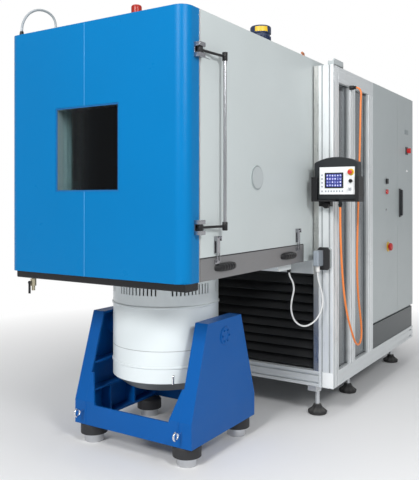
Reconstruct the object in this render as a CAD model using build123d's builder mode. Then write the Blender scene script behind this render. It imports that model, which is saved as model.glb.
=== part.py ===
from build123d import *
import os
from math import pi, radians, tan

os.makedirs("parts", exist_ok=True)

# Millimetres. Until the last step X = 0 is the middle of the door, Y = 0 its front face
# and Z = 0 the floor. The finished pieces are then moved to the middle of the machine.

# Chamber body, an insulated box that hangs in front of the machine frame
bodyWidth = 1186.0
bodyTop = 2316.0
bodyBottom = 1016.0
bodyDepth = 1522.0
skin = 3.0
liner = 2.0
wall = 100.0
trayDepth = 1187.0
trayHeight = 108.0
traySeal = 6.0
trayBore = 230.0
shaftRoom = 10.0
plugRoom = 0.4
shaftClear = 0.05
guideLine = 950.0  # air guide plate behind the test space, from the door seal
guideSheet = 3.0
portY = 692.0
portZ = 1529.0
portBore = 56.0
portRim = 12.0
portLip = 4.0

# Door and its window
doorThick = 122.0
doorCorner = 60.0
doorSeal = 6.0
doorSealInset = 12.0
panelSheet = 3.0
windowLeft = -236.0
windowRight = 196.0
windowLow = 1450.0
windowHigh = 1888.0
windowFrame = 8.0
paneThick = 6.0
paneDepths = (44.0, 78.0, 110.0)
railDrop = 36.0
railLeft = -540.0
railWidth = 108.0
hingeHeights = (2129.0, 1343.0)
hingeLength = 92.0
hingeRadius = 9.0
hingePin = 5.0
hingeStand = 12.0
leafThick = 3.0

# Door handle: two pivot blocks, two arms and one long bar
blockHeights = (2114.0, 1278.0)
blockWide = 44.0
blockTall = 70.0
blockDeep = 34.0
pivotY = 96.0
pivotPin = 9.0
armReach = 193.0
armThick = 14.0
armTall = 30.0
barRadius = 8.0
barStand = 40.0
strikeThick = 8.0

# Floor tray fittings
gripPlaces = (357.0, 1090.0)
gripLength = 205.0
gripTall = 38.0
gripStand = 30.0
gripThick = 12.0
gripZ = 1071.0
togglePlaces = (272.0, 1215.0)
toggleTop = 1229.0
toggleLength = 84.0
toggleWidth = 44.0
hookLength = 46.0
boxX = (440.0, 560.0)
boxY = (1000.0, 1200.0)
boxDrop = 38.0
drainX = -572.0
drainY = 153.0
drainDrop = 129.0

# Roof fittings and air system
motorX = 300.0
motorY = 1290.0
motorRadius = 68.0
motorHeight = 217.0
shaftRadius = 12.0
fanRadius = 150.0
fanHeight = 90.0
fanTop = 2150.0
lampX = 124.0
lampY = 230.0
lampRadius = 28.0
lampHeight = 118.0

# Machine frame of slotted aluminium profile
profileSide = 100.0
slotWide = 10.0
slotDeep = 12.0
slotPitch = 50.0
guideWide = 35.0
guideGap = 7.0
frameFront = 1451.0
frameRear = 3305.0
beamLow = 200.0
frameTop = 2270.0
postY = 1757.0
cabinetFront = 2235.0
stopLow = 926.0
panelThick = 3.0
panelRecess = 30.0

# Feet of the frame
footFront = 1540.0
footMiddle = 2100.0
footInset = 165.0
footX = 590.0
footRadius = 60.0
footPad = 32.0
footStem = 15.0
runnerTall = 33.0
runnerWide = 60.0

# Control cabinet
cabinetDeep = 380.0
cabinetLow = 474.0
cabinetTop = 2270.0
leafShare = 0.5748  # part of the cabinet's length that the front leaf covers
cabinetSheet = 3.0
leafDeep = 20.0
leafGap = 4.0
buttonBore = 11.4
buttonStem = 11.0
startZ = 1549.0
stopZ = 1467.0
emergencyZ = 1036.0
handleZ = 1380.0
handleLong = 214.0
unitPitch = 124.0
unitWide = 95.0
railPitch = 380.0

# Refrigeration set and air coils
compressorX = (-330.0, 20.0)
compressorRadius = 110.0
compressorTall = 380.0
compressorInset = 805.0
condenserX = (-500.0, 250.0)
condenserInset = 345.0
condenserDeep = 100.0
condenserTall = 760.0
coilInset = 63.0
coilDeep = 80.0
finCount = 12
finPitch = 50.0
heaterInset = 113.0

# Hand-held operator panel in its holder
pendantX = (653.0, 938.0)
pendantZ = (1407.0, 1671.0)
pendantFront = 1340.0
pendantDeep = 58.0
panelLeft = 691.0
panelRight = 918.0
panelLow = 1440.0
panelHigh = 1609.0
stopStem = 7.0
holderWall = 8.0
holderGap = 3.0

# Shaker and its stand
shakerY = 661.0
shakerRadius = 311.0
shakerTop = 1000.0
shakerLow = 345.0
shakerWall = 20.0
coneRadius = 238.0
ventLow = 880.0
ventHigh = 937.0
ventWide = 9.0
ventCount = 84
tableRadius = 160.0
tableTop = 1112.0
tableThick = 30.0
armatureGap = 0.4
guideRod = 15.0
guideLow = 600.0
insertCircle = 200.0
insertCount = 8
insertRadius = 5.0
standHalf = 410.0
cheekThick = 81.0
standFront = 325.0
standRear = 1002.0
standLow = 110.0
standKnee = 245.0
standTop = 740.0
standTopFront = 482.0
standTopRear = 839.0
plate = 12.0
trunnionRadius = 40.0
trunnionZ = 647.0
standFootX = 330.0
standFootY = (400.0, 925.0)
standFootRadius = 78.0
standDisc = 50.0

cylinderX = 450.0
cylinderRadius = 35.0
rodRadius = 20.0
switchInset = 191.0
switchZ = 1820.0
glandX = 814.0
conduitStart = (-565.0, 61.0)
conduitEnd = (-555.0, 305.0)
cordRadius = 6.5
leadRadius = 5.25
conduitRadius = 7.0

# Values worked out from these
half = bodyWidth / 2
frameHalf = half + guideGap + guideWide + profileSide
cabinetSplit = cabinetFront + leafShare * (frameRear - cabinetFront)
handleY = cabinetSplit + 60
buttonY = cabinetSplit - 298
emergencyY = cabinetSplit - 252
switchY = frameRear - switchInset
footY = (footFront, footMiddle, frameRear - footInset)
cavityHalf = half - wall
chamberFront = doorThick + doorSeal
bodyRear = chamberFront + bodyDepth
trayRear = chamberFront + trayDepth
trayTop = bodyBottom + trayHeight
bodyFloor = trayTop + traySeal
cavityTop = bodyTop - wall
columnInner = frameHalf - profileSide
beamTop = beamLow + profileSide
hingeX = -half - hingeStand
hingeY = doorThick + doorSeal / 2
cabinetInner = frameHalf - cabinetDeep - leafDeep
holderRight = pendantX[1] + holderGap + holderWall
holderLeft = pendantX[0] - holderGap - holderWall
middleX = (holderRight - frameHalf) / 2
middleY = frameRear / 2
guideY = chamberFront + guideLine
controlX = panelRight - 24
cylinderY = bodyRear - 50
glandY = pendantFront + pendantDeep / 2


def save(piece, name):
    moved = piece.part.moved(Location((-middleX, -middleY, 0)))
    moved.label = name
    export_step(moved, f"parts/{name}.step")


def block(x, y, z, mode=Mode.ADD):
    # a plate or bar between two limits on each axis
    with Locations(((x[0] + x[1]) / 2, (y[0] + y[1]) / 2, (z[0] + z[1]) / 2)):
        Box(x[1] - x[0], y[1] - y[0], z[1] - z[0], mode=mode)


def post(radius, centre, z, mode=Mode.ADD):
    # an upright round bar
    with BuildSketch(Plane.XY.offset(z[0])) as end:
        with Locations(centre):
            Circle(radius)
    extrude(end.sketch, amount=z[1] - z[0], mode=mode)


def axleX(radius, centre, x, mode=Mode.ADD):
    # a round bar that lies across the machine
    with BuildSketch(Plane.YZ.offset(x[0])) as end:
        with Locations(centre):
            Circle(radius)
    extrude(end.sketch, amount=x[1] - x[0], mode=mode)


def axleY(radius, centre, y, mode=Mode.ADD):
    # a round bar that runs from the front to the rear
    with BuildSketch(Plane.XZ.offset(-y[1])) as end:
        with Locations(centre):
            Circle(radius)
    extrude(end.sketch, amount=y[1] - y[0], mode=mode)


def sideForm(points, reach, grow=0.0, mode=Mode.ADD):
    # an outline seen from the side, grown or shrunk, carried across the width
    with BuildSketch(Plane.YZ.offset(-reach)) as side:
        with BuildLine():
            Polyline(*points, close=True)
        make_face()
        if grow:
            offset(amount=grow, kind=Kind.INTERSECTION)
    extrude(side.sketch, amount=2 * reach, mode=mode)


def cord(points, radius):
    # straight runs joined by arcs as large as the runs allow
    corners = [Vector(*p) for p in points]
    radii = []
    for before, here, after in zip(corners, corners[1:], corners[2:]):
        turn = (here - before).get_angle(after - here)
        shorter = min((here - before).length, (after - here).length)
        radii.append(0.45 * shorter / tan(radians(turn / 2)))
    print("bend radii", [round(r) for r in radii])
    with BuildPart() as tube:
        with BuildLine() as path:
            FilletPolyline(*points, radius=radii)
        start = Plane(origin=path.line @ 0, z_dir=path.line % 0)
        with BuildSketch(start):
            Circle(radius)
        sweep()
    length = sum(edge.length for edge in path.edges())
    print("cord length", round(length), "volume ratio", round(tube.part.volume / (pi * radius**2 * length), 4))
    return tube


# Chamber body
bodyOutline = [
    (chamberFront, bodyFloor),
    (chamberFront, bodyTop),
    (bodyRear, bodyTop),
    (bodyRear, bodyBottom),
    (trayRear, bodyBottom),
    (trayRear, bodyFloor),
]
cavityOutline = [
    (chamberFront, bodyFloor),
    (chamberFront, cavityTop),
    (bodyRear - wall, cavityTop),
    (bodyRear - wall, bodyFloor + wall),
    (trayRear - wall, bodyFloor + wall),
    (trayRear - wall, bodyFloor),
]


def bodyHoles():
    axleX(portBore, (portY, portZ), (cavityHalf - wall, half + wall), Mode.SUBTRACT)
    post(shaftRadius + shaftRoom, (motorX, motorY), (cavityTop - wall, bodyTop + wall), Mode.SUBTRACT)


def hingeKnuckle(low, high, near, far):
    # a knuckle on the hinge line with its leaf, which wraps onto the side of the body or door
    post(hingeRadius, (hingeX, hingeY), (low, high))
    block((hingeX, -half), sorted((near, near + (leafThick if far > near else -leafThick))), (low, high))
    block((-half - leafThick, -half), sorted((near, far)), (low, high))


with BuildPart() as chamberCasing:
    sideForm(bodyOutline, half)
    sideForm(bodyOutline, half - skin, -skin, Mode.SUBTRACT)
    sideForm(cavityOutline, cavityHalf + liner + skin, liner + skin)
    block((-half, half), (0, chamberFront), (0, bodyTop), Mode.SUBTRACT)
    block((-half, half), (0, trayRear), (0, bodyFloor), Mode.SUBTRACT)
    axleX(portBore + skin, (portY, portZ), (cavityHalf, half))
    post(shaftRadius + shaftRoom + skin, (motorX, motorY), (cavityTop, bodyTop))
    sideForm(cavityOutline, cavityHalf + liner, liner, Mode.SUBTRACT)
    axleX(portBore + portRim, (portY, portZ), (half, half + portLip))
    bodyHoles()
    for height in hingeHeights:
        low = height - hingeLength / 2
        hingeKnuckle(low, height - 0.5, hingeY + 4, chamberFront + 34)
        post(hingePin, (hingeX, hingeY), (low, low + hingeLength - 4))
    for height in blockHeights:
        block((half, half + strikeThick), (chamberFront + 20, chamberFront + 80), (height - 22, height + 22))
    post(12, (conduitEnd[0], conduitEnd[1]), (bodyTop, bodyTop + 20))
    for x in (-cylinderX, cylinderX):
        post(rodRadius, (x, cylinderY), (beamTop + 22, bodyBottom))
save(chamberCasing, "chamber_casing")

with BuildPart() as chamberLiner:
    sideForm(cavityOutline, cavityHalf + liner, liner)
    sideForm(cavityOutline, cavityHalf, 0.0, Mode.SUBTRACT)
    block((-half, half), (0, chamberFront), (0, bodyTop), Mode.SUBTRACT)
    block((-half, half), (0, bodyRear), (0, bodyFloor), Mode.SUBTRACT)
    bodyHoles()
    block((-cavityHalf, cavityHalf), (guideY, guideY + guideSheet), (bodyFloor + wall, cavityTop - wall))
    with BuildSketch(Plane.XZ.offset(-guideY - guideSheet)) as slots:
        with Locations((0, bodyFloor + 2 * wall)):
            with GridLocations(0, 30, 1, 5):
                SlotOverall(1.4 * cavityHalf, 12)
        with Locations((0, cavityTop - 2.4 * wall)):
            with GridLocations(0, 30, 1, 4):
                SlotOverall(1.4 * cavityHalf, 12)
    extrude(slots.sketch, amount=guideSheet, mode=Mode.SUBTRACT)
save(chamberLiner, "chamber_liner")

coilY = (bodyRear - wall - 12 - coilDeep, bodyRear - wall - 12)
coilHalf = cavityHalf - coilInset
heaterZ = bodyFloor + wall + 70
with BuildPart() as airCoils:
    for row in range(finCount):
        finZ = bodyFloor + 2.4 * wall + finPitch * row
        block((-coilHalf, coilHalf), coilY, (finZ, finZ + 6))
    for end in (-coilHalf, coilHalf - 10):
        block((end, end + 10), (coilY[0], bodyRear - wall),
              (bodyFloor + 2.4 * wall, bodyFloor + 2.4 * wall + finPitch * (finCount - 1) + 6))
    for row in range(3):
        axleX(6, (guideY + 60 + 45 * row, heaterZ), (heaterInset - cavityHalf, cavityHalf - heaterInset))
    for foot in (heaterInset + 20 - cavityHalf, cavityHalf - heaterInset - 40):
        block((foot, foot + 20), (guideY + guideSheet, guideY + 165), (bodyFloor + wall, heaterZ + 10))
save(airCoils, "cooling_coil_and_heater")

with BuildPart() as portPlug:
    axleX(portBore - plugRoom, (portY, portZ), (cavityHalf, half + portLip + plugRoom))
    axleX(portBore + portLip, (portY, portZ), (half + portLip + plugRoom, half + 2 * portLip))
save(portPlug, "port_plug")

# Floor tray
valveZ = bodyBottom - 82
with BuildPart() as floorTray:
    block((-half, half), (chamberFront, trayRear), (bodyBottom, trayTop))
    block((-half + skin, half - skin), (chamberFront + skin, trayRear - skin),
          (bodyBottom + skin, trayTop - skin), Mode.SUBTRACT)
    post(trayBore + skin, (0, shakerY), (bodyBottom, trayTop))
    post(trayBore, (0, shakerY), (bodyBottom, trayTop), Mode.SUBTRACT)
    with BuildSketch(Plane.YZ.offset(boxX[0])) as side:
        with BuildLine():
            Polyline(
                (boxY[0], bodyBottom), (boxY[0] + boxDrop, bodyBottom - boxDrop),
                (boxY[1], bodyBottom - boxDrop), (boxY[1], bodyBottom), close=True,
            )
        make_face()
    extrude(amount=boxX[1] - boxX[0])
    post(10, (drainX, drainY), (bodyBottom - drainDrop, bodyBottom))
    post(17, (drainX, drainY), (valveZ - 20, valveZ + 20))
    axleY(7, (drainX, valveZ), (drainY - 26, drainY))
    post(6, (drainX, drainY), (bodyBottom - drainDrop, bodyBottom), Mode.SUBTRACT)
save(floorTray, "floor_tray")

membraneZ = trayTop - 40
with BuildPart() as traySeals:
    block((-half + skin, half - skin), (chamberFront + skin, trayRear - skin), (trayTop, bodyFloor))
    block((-cavityHalf, cavityHalf), (chamberFront + skin + 20, trayRear - wall), (trayTop, bodyFloor),
          Mode.SUBTRACT)
    with BuildSketch(Plane.XZ) as ring:
        with BuildLine():
            Polyline(
                (trayBore, membraneZ), (trayBore - 26, membraneZ), (trayBore - 36, membraneZ + 14),
                (tableRadius + 26, membraneZ + 14), (tableRadius + 16, membraneZ),
                (tableRadius + armatureGap, membraneZ), (tableRadius + armatureGap, membraneZ + 4),
                (tableRadius + 13, membraneZ + 4), (tableRadius + 23, membraneZ + 18),
                (trayBore - 33, membraneZ + 18), (trayBore - 23, membraneZ + 4), (trayBore, membraneZ + 4),
                close=True,
            )
        make_face()
    turned = revolve(ring.sketch, axis=Axis.Z, mode=Mode.PRIVATE)
    add(turned.moved(Location((0, shakerY, 0))))
save(traySeals, "tray_seals")

with BuildPart() as trayGrips:
    for side in (-1, 1):
        for place in gripPlaces:
            with BuildSketch(Plane.XY.offset(gripZ - gripTall / 2)) as bow:
                with Locations((side * (half + gripStand / 2), place)):
                    RectangleRounded(gripStand, gripLength, gripStand / 2 - 1)
                with Locations((side * (half + gripStand / 2 - gripThick), place)):
                    Rectangle(gripStand, gripLength - 4 * gripThick, mode=Mode.SUBTRACT)
                for end in (-1, 1):
                    with Locations((side * (half + 4), place + end * (gripLength / 2 - gripThick))):
                        Rectangle(8, 2 * gripThick)
            extrude(bow.sketch, amount=gripTall)
save(trayGrips, "tray_grips")

# Toggle latches that hold the tray against the body
with BuildPart() as toggleBrackets:
    for side in (-1, 1):
        for place in togglePlaces:
            x = sorted((side * half, side * (half + 4)))
            block(x, (place - toggleWidth / 2, place + toggleWidth / 2), (toggleTop - toggleLength, toggleTop))
            x = sorted((side * half, side * (half + 20)))
            for end in (-1, 1):
                block(x, sorted((place + end * toggleWidth / 2, place + end * (toggleWidth / 2 - 4))),
                      (toggleTop - 24, toggleTop))
            x = sorted((side * half, side * (half + 6)))
            block(x, (place - 18, place + 18), (trayTop - 32, trayTop - 12))
save(toggleBrackets, "toggle_brackets")

for name, side, place in (
    ("toggle_right_front", 1, togglePlaces[0]),
    ("toggle_right_rear", 1, togglePlaces[1]),
    ("toggle_left_front", -1, togglePlaces[0]),
    ("toggle_left_rear", -1, togglePlaces[1]),
):
    with BuildPart() as toggle:
        pivotX = half + 12
        low = toggleTop - toggleLength
        axleY(4, (side * pivotX, toggleTop - 12), (place - toggleWidth / 2 + 4.3, place + toggleWidth / 2 - 4.3))
        x = sorted((side * (pivotX - 3), side * (pivotX + 3)))
        block(x, (place - 13, place + 13), (low, toggleTop - 12))
        for end in (-1, 1):
            block(x, sorted((place + end * 9, place + end * 13)), (low - hookLength, low))
        block(x, (place - 13, place + 13), (low - hookLength, low - hookLength + 6))
    save(toggle, name)

# Lever of the drain cock
with BuildPart() as drainLever:
    leverY = (drainY - 31.3, drainY - 26.3)
    axleY(10, (drainX, valveZ), leverY)
    block((drainX - 7, drainX + 7), leverY, (valveZ - 62, valveZ))
save(drainLever, "drain_lever")

# Door
with BuildPart() as doorShell:
    with BuildSketch(Plane.XY.offset(bodyBottom)) as plan:
        with Locations((0, (doorThick - panelSheet) / 2)):
            Rectangle(bodyWidth, doorThick - panelSheet)
        fillet(plan.vertices().sort_by(Axis.Y)[:2], radius=doorCorner)
    extrude(amount=bodyTop - bodyBottom)
    with BuildSketch(Plane.XY.offset(bodyBottom + skin)) as hollow:
        with Locations((0, (doorThick - panelSheet + skin) / 2)):
            Rectangle(bodyWidth - 2 * skin, doorThick - panelSheet - skin)
        fillet(hollow.vertices().sort_by(Axis.Y)[:2], radius=doorCorner - skin)
    extrude(amount=bodyTop - bodyBottom - 2 * skin, mode=Mode.SUBTRACT)
    block((windowLeft, windowRight), (-wall, doorThick), (windowLow, windowHigh), Mode.SUBTRACT)
    for height in hingeHeights:
        hingeKnuckle(height, height + hingeLength / 2, hingeY - 4, doorCorner + 6)
        post(hingePin + shaftClear, (hingeX, hingeY), (height - 1, height + hingeLength / 2 - 3.5),
             Mode.SUBTRACT)
    post(12, (conduitStart[0], conduitStart[1]), (bodyTop, bodyTop + 20))
save(doorShell, "door_shell")

with BuildPart() as doorPanel:
    block((-half, half), (doorThick - panelSheet, doorThick), (bodyBottom, bodyTop))
    block((windowLeft, windowRight), (panelSheet, doorThick), (windowLow, windowHigh))
    block((windowLeft + windowFrame, windowRight - windowFrame), (0, doorThick),
          (windowLow + windowFrame, windowHigh - windowFrame), Mode.SUBTRACT)
save(doorPanel, "door_inner_panel")

with BuildPart() as doorGasket:
    block((-half + doorSealInset, half - doorSealInset), (doorThick, chamberFront),
          (bodyFloor + doorSealInset, bodyTop - doorSealInset))
    block((-cavityHalf - liner, cavityHalf + liner), (doorThick, chamberFront),
          (bodyFloor + wall / 2, cavityTop + liner), Mode.SUBTRACT)
save(doorGasket, "door_gasket")

with BuildPart() as windowPanes:
    for depth in paneDepths:
        block((windowLeft + windowFrame, windowRight - windowFrame), (depth, depth + paneThick),
              (windowLow + windowFrame, windowHigh - windowFrame))
save(windowPanes, "window_panes")

with BuildPart() as doorRail:
    block((railLeft, half - skin), (doorThick / 2 - railWidth / 2, doorThick / 2 + railWidth / 2),
          (bodyBottom - railDrop, bodyBottom))
    fillet(doorRail.edges().filter_by(Axis.X).group_by(Axis.Z)[0], radius=railDrop / 4)
save(doorRail, "door_bottom_rail")

# Door handle
pivotX = half + blockDeep / 2 + 4
with BuildPart() as pivotBlocks:
    for height in blockHeights:
        block((half, half + blockDeep), (pivotY - blockWide / 2, doorThick),
              (height - blockTall / 2, height + blockTall / 2))
        block((half + 6, half + blockDeep), (pivotY - blockWide / 2, doorThick),
              (height - armTall / 2 - 0.5, height + armTall / 2 + 0.5), Mode.SUBTRACT)
        post(pivotPin, (pivotX, pivotY), (height - blockTall / 2, height + blockTall / 2))
save(pivotBlocks, "handle_pivot_blocks")

barY = pivotY + armReach
barX = half + barStand
with BuildPart() as handleBar:
    for height in blockHeights:
        with BuildSketch(Plane.XY.offset(height - armTall / 2)) as arm:
            with BuildLine():
                Polyline((pivotX, pivotY), (pivotX + 4, doorThick + 30), (barX, barY))
                offset(amount=armThick / 2, side=Side.BOTH)
            make_face()
            with Locations((pivotX, pivotY)):
                Circle(pivotPin + 4)
                Circle(pivotPin + 0.05, mode=Mode.SUBTRACT)
        extrude(arm.sketch, amount=armTall)
    post(barRadius, (barX, barY), (blockHeights[1], blockHeights[0]))
save(handleBar, "door_handle")

# Roof fittings
with BuildPart() as fanMotor:
    post(motorRadius + 14, (motorX, motorY), (bodyTop, bodyTop + 10))
    post(motorRadius - 8, (motorX, motorY), (bodyTop + 10, bodyTop + motorHeight - 50))
    with BuildSketch(Plane.XY.offset(bodyTop + 22)) as fins:
        with Locations((motorX, motorY)):
            with PolarLocations(motorRadius - 7, 20):
                Rectangle(14, 4)
    extrude(fins.sketch, amount=motorHeight - 90)
    post(motorRadius, (motorX, motorY), (bodyTop + motorHeight - 50, bodyTop + motorHeight))
    fillet(fanMotor.edges().group_by(Axis.Z)[-1], radius=14)
    post(shaftRadius + 0.05, (motorX, motorY), (bodyTop, bodyTop + 60), Mode.SUBTRACT)
save(fanMotor, "fan_motor")

with BuildPart() as fanWheel:
    post(shaftRadius, (motorX, motorY), (fanTop - fanHeight, bodyTop + 55))
    post(40, (motorX, motorY), (fanTop - 40, fanTop))
    post(fanRadius, (motorX, motorY), (fanTop - 4, fanTop))
    with BuildSketch(Plane.XY.offset(fanTop - fanHeight)) as blades:
        with Locations((motorX, motorY)):
            with PolarLocations(fanRadius - 32, 12):
                Rectangle(60, 3, rotation=35)
    extrude(blades.sketch, amount=fanHeight - 4)
save(fanWheel, "fan_wheel")

with BuildPart() as roofLamp:
    post(lampRadius + 6, (lampX, lampY), (bodyTop, bodyTop + 26))
    post(lampRadius, (lampX, lampY), (bodyTop + 26, bodyTop + lampHeight))
    fillet(roofLamp.edges().group_by(Axis.Z)[-1], radius=12)
save(roofLamp, "roof_lamp")

# Machine frame
with BuildSketch() as slotted:
    RectangleRounded(profileSide, profileSide, 3)
    for turn in range(4):
        for place in (-slotPitch / 2, slotPitch / 2):
            with Locations(Location((0, 0, 0), (0, 0, 90 * turn))):
                with Locations((place, profileSide / 2 - slotDeep / 2)):
                    Rectangle(slotWide, slotDeep, mode=Mode.SUBTRACT)


def member(axis, start, end, centre):
    # a length of slotted profile along one axis
    plane = {"X": Plane.YZ.offset(start), "Y": Plane.XZ.offset(-end), "Z": Plane.XY.offset(start)}[axis]
    with BuildSketch(plane) as section:
        with Locations(centre):
            add(slotted.sketch)
    extrude(section.sketch, amount=end - start)


side = profileSide / 2
columnX = frameHalf - side
with BuildPart() as frameColumns:
    for x in (-columnX, columnX):
        member("Z", beamLow, frameTop, (x, frameFront + side))
    member("Z", beamLow, frameTop, (-columnX, frameRear - side))
    for x in (-columnX, columnX):
        for y in (postY + side, cabinetFront - side):
            member("Z", beamTop, frameTop - profileSide, (x, y))
save(frameColumns, "frame_columns")

with BuildPart() as frameBeams:
    baseZ = beamLow + side
    topZ = frameTop - side
    member("Y", frameFront + profileSide, frameRear - profileSide, (-columnX, baseZ))
    member("Y", frameFront + profileSide, frameRear, (columnX, baseZ))
    member("Y", frameFront + profileSide, frameRear - profileSide, (-columnX, topZ))
    member("Y", frameFront + profileSide, cabinetFront, (columnX, topZ))
    member("X", -columnInner, columnInner, (frameFront + side, baseZ))
    member("X", -columnInner, columnInner, (frameRear - side, baseZ))
    member("X", -columnInner, columnInner, (postY + side, topZ))
    member("X", -columnInner, cabinetInner, (frameRear - side, topZ))
    block((-half - guideGap, half + guideGap), (frameFront, frameFront + profileSide), (stopLow, bodyBottom))
save(frameBeams, "frame_beams")

with BuildPart() as guideRails:
    for x in (columnInner - guideWide, -columnInner):
        block((x, x + guideWide), (frameFront + 4, frameFront + profileSide), (beamTop, frameTop))
save(guideRails, "guide_rails")

with BuildPart() as liftCylinders:
    for x in (-cylinderX, cylinderX):
        post(cylinderRadius, (x, cylinderY), (beamTop, stopLow))
        post(rodRadius + shaftClear, (x, cylinderY), (beamTop + 20, stopLow), Mode.SUBTRACT)
save(liftCylinders, "lift_cylinders")

slatPitch = 60.0
grilleY = frameFront + 24
with BuildPart() as louvres:
    slatCount = int((stopLow - beamTop) / slatPitch)
    for x in (-columnInner + guideWide, columnInner - guideWide - 12):
        block((x, x + 12), (grilleY, grilleY + 50), (beamTop, stopLow))
    for count in range(slatCount):
        low = beamTop + slatPitch * (count + 0.25)
        with BuildSketch(Plane.YZ.offset(-columnInner + guideWide + 6)) as slat:
            with BuildLine():
                Polyline((grilleY, low), (grilleY + 44, low + 46), (grilleY + 47, low + 43),
                         (grilleY + 4, low - 2), close=True)
            make_face()
        extrude(slat.sketch, amount=2 * (columnInner - guideWide - 6))
    block((-columnInner + guideWide, columnInner - guideWide), (grilleY + 52, grilleY + 54),
          (beamTop, stopLow))
    for x in (-columnInner + guideWide, columnInner - guideWide - 12):
        block((x, x + 12), (grilleY + 50, grilleY + 52), (beamTop, stopLow))
    block((columnInner + 4, frameHalf - 8), (cabinetFront, frameRear), (beamTop, cabinetLow))
save(louvres, "louvres_and_plinth")

with BuildPart() as machinePanels:
    panelX = frameHalf - panelRecess
    bays = ((frameFront + profileSide, postY), (postY + profileSide, cabinetFront - profileSide))
    for y in bays:
        for x in (-panelX, panelX - panelThick):
            block((x, x + panelThick), y, (beamTop, frameTop - profileSide))
    block((-panelX, -panelX + panelThick), (cabinetFront, frameRear - profileSide),
          (beamTop, frameTop - profileSide))
    rearSpan = (-columnInner, cabinetInner)
    block(rearSpan, (frameRear - panelRecess, frameRear - panelRecess + panelThick),
          (beamTop, frameTop - profileSide))
    with BuildSketch(Plane.XZ.offset(-frameRear + panelRecess - panelThick)) as vents:
        with Locations(((rearSpan[0] + rearSpan[1]) / 2, 900)):
            with GridLocations(0, 40, 1, 14):
                SlotOverall(640, 16)
    extrude(vents.sketch, amount=panelThick, mode=Mode.SUBTRACT)
    block((-columnInner, columnInner), (frameFront + profileSide, frameRear - profileSide),
          (beamTop - 6, beamTop))
    block((-columnInner, columnInner), (postY + profileSide, cabinetFront), (frameTop - 3, frameTop))
    block((-columnInner, cabinetInner), (cabinetFront, frameRear - profileSide), (frameTop - 3, frameTop))
save(machinePanels, "machine_panels")

# Feet of the frame
with BuildPart() as footRunners:
    for x in (-footX, footX):
        block((x - runnerWide / 2, x + runnerWide / 2), (frameFront, frameRear), (beamLow - runnerTall, beamLow))
        for y in footY:
            post(footStem, (x, y), (footPad, beamLow - runnerTall))
            with BuildSketch(Plane.XY.offset(beamLow - runnerTall - 16)) as nut:
                with Locations((x, y)):
                    RegularPolygon(footStem + 12, 6)
            extrude(nut.sketch, amount=16)
save(footRunners, "foot_runners")

with BuildPart() as footPads:
    for x in (-footX, footX):
        for y in footY:
            post(footRadius, (x, y), (0, footPad))
    fillet(footPads.edges().group_by(Axis.Z)[-1], radius=8)
save(footPads, "foot_pads")

# Refrigeration set on the machine floor
with BuildPart() as refrigeration:
    for x in compressorX:
        post(compressorRadius, (x, frameRear - compressorInset), (beamTop, beamTop + compressorTall))
    fillet(refrigeration.edges().group_by(Axis.Z)[-1], radius=40)
    for x in compressorX:
        block((x - 130, x + 130), (frameRear - compressorInset - 60, frameRear - compressorInset + 60),
              (beamTop, beamTop + 12))
    condenserY = frameRear - condenserInset
    block(condenserX, (condenserY, condenserY + condenserDeep), (beamTop, beamTop + condenserTall))
    axleY(272, (sum(condenserX) / 2, beamTop + condenserTall / 2 + 10),
          (condenserY + condenserDeep - 20, condenserY + condenserDeep), Mode.SUBTRACT)
save(refrigeration, "refrigeration_set")

# Control cabinet
with BuildPart() as cabinetCarcass:
    cabinetX = (cabinetInner, frameHalf - leafDeep)
    block(cabinetX, (cabinetFront, frameRear), (cabinetLow, cabinetTop))
    block((cabinetX[0] + cabinetSheet, cabinetX[1]), (cabinetFront + cabinetSheet, frameRear - cabinetSheet),
          (cabinetLow + cabinetSheet, cabinetTop - cabinetSheet), Mode.SUBTRACT)
save(cabinetCarcass, "cabinet_carcass")

with BuildPart() as mountingPlate:
    plateX = cabinetInner + 30
    block((plateX, plateX + 3), (cabinetFront + 40, frameRear - 40), (cabinetLow + 60, cabinetTop - 60))
    for y in (cabinetFront + 70, frameRear - 90):
        for z in (cabinetLow + 90, cabinetTop - 110):
            block((cabinetInner + cabinetSheet, plateX), (y, y + 20), (z, z + 20))
    unitCount = int((frameRear - cabinetFront - 200) / unitPitch)
    for row in range(4):
        low = cabinetLow + 250 + railPitch * row
        block((plateX + 3, plateX + 11), (cabinetFront + 80, frameRear - 80), (low + 30, low + 65))
        for unit in range(unitCount):
            y = cabinetFront + 100 + unitPitch * unit
            block((plateX + 11, plateX + 85), (y, y + unitWide), (low, low + unitWide))
save(mountingPlate, "mounting_plate")

doorLow = cabinetLow + 18


def cabinetLeaf(y):
    # a door leaf folded from sheet
    block((frameHalf - leafDeep, frameHalf), y, (doorLow, cabinetTop))
    block((frameHalf - leafDeep, frameHalf - 2), (y[0] + 2, y[1] - 2), (doorLow + 2, cabinetTop - 2), Mode.SUBTRACT)


with BuildPart() as cabinetDoorFront:
    cabinetLeaf((cabinetFront, cabinetSplit - leafGap / 2))
    for z in (startZ, stopZ):
        axleX(buttonBore, (buttonY, z), (frameHalf - leafDeep, frameHalf), Mode.SUBTRACT)
    axleX(38, (emergencyY, emergencyZ), (frameHalf, frameHalf + 4))
    axleX(buttonBore, (emergencyY, emergencyZ), (frameHalf - leafDeep, frameHalf + 4), Mode.SUBTRACT)
save(cabinetDoorFront, "cabinet_door_front")

with BuildPart() as cabinetDoorRear:
    cabinetLeaf((cabinetSplit + leafGap / 2, frameRear))
    block((frameHalf, frameHalf + 10), (handleY - 20, handleY + 20),
          (handleZ - handleLong / 2 - 11, handleZ + handleLong / 2 + 9))
    block((frameHalf, frameHalf + 5), (switchY - 33, switchY + 33), (switchZ - 33, switchZ + 33))
    axleX(26, (switchY, switchZ), (frameHalf + 5, frameHalf + 9))
save(cabinetDoorRear, "cabinet_door_rear")

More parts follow.
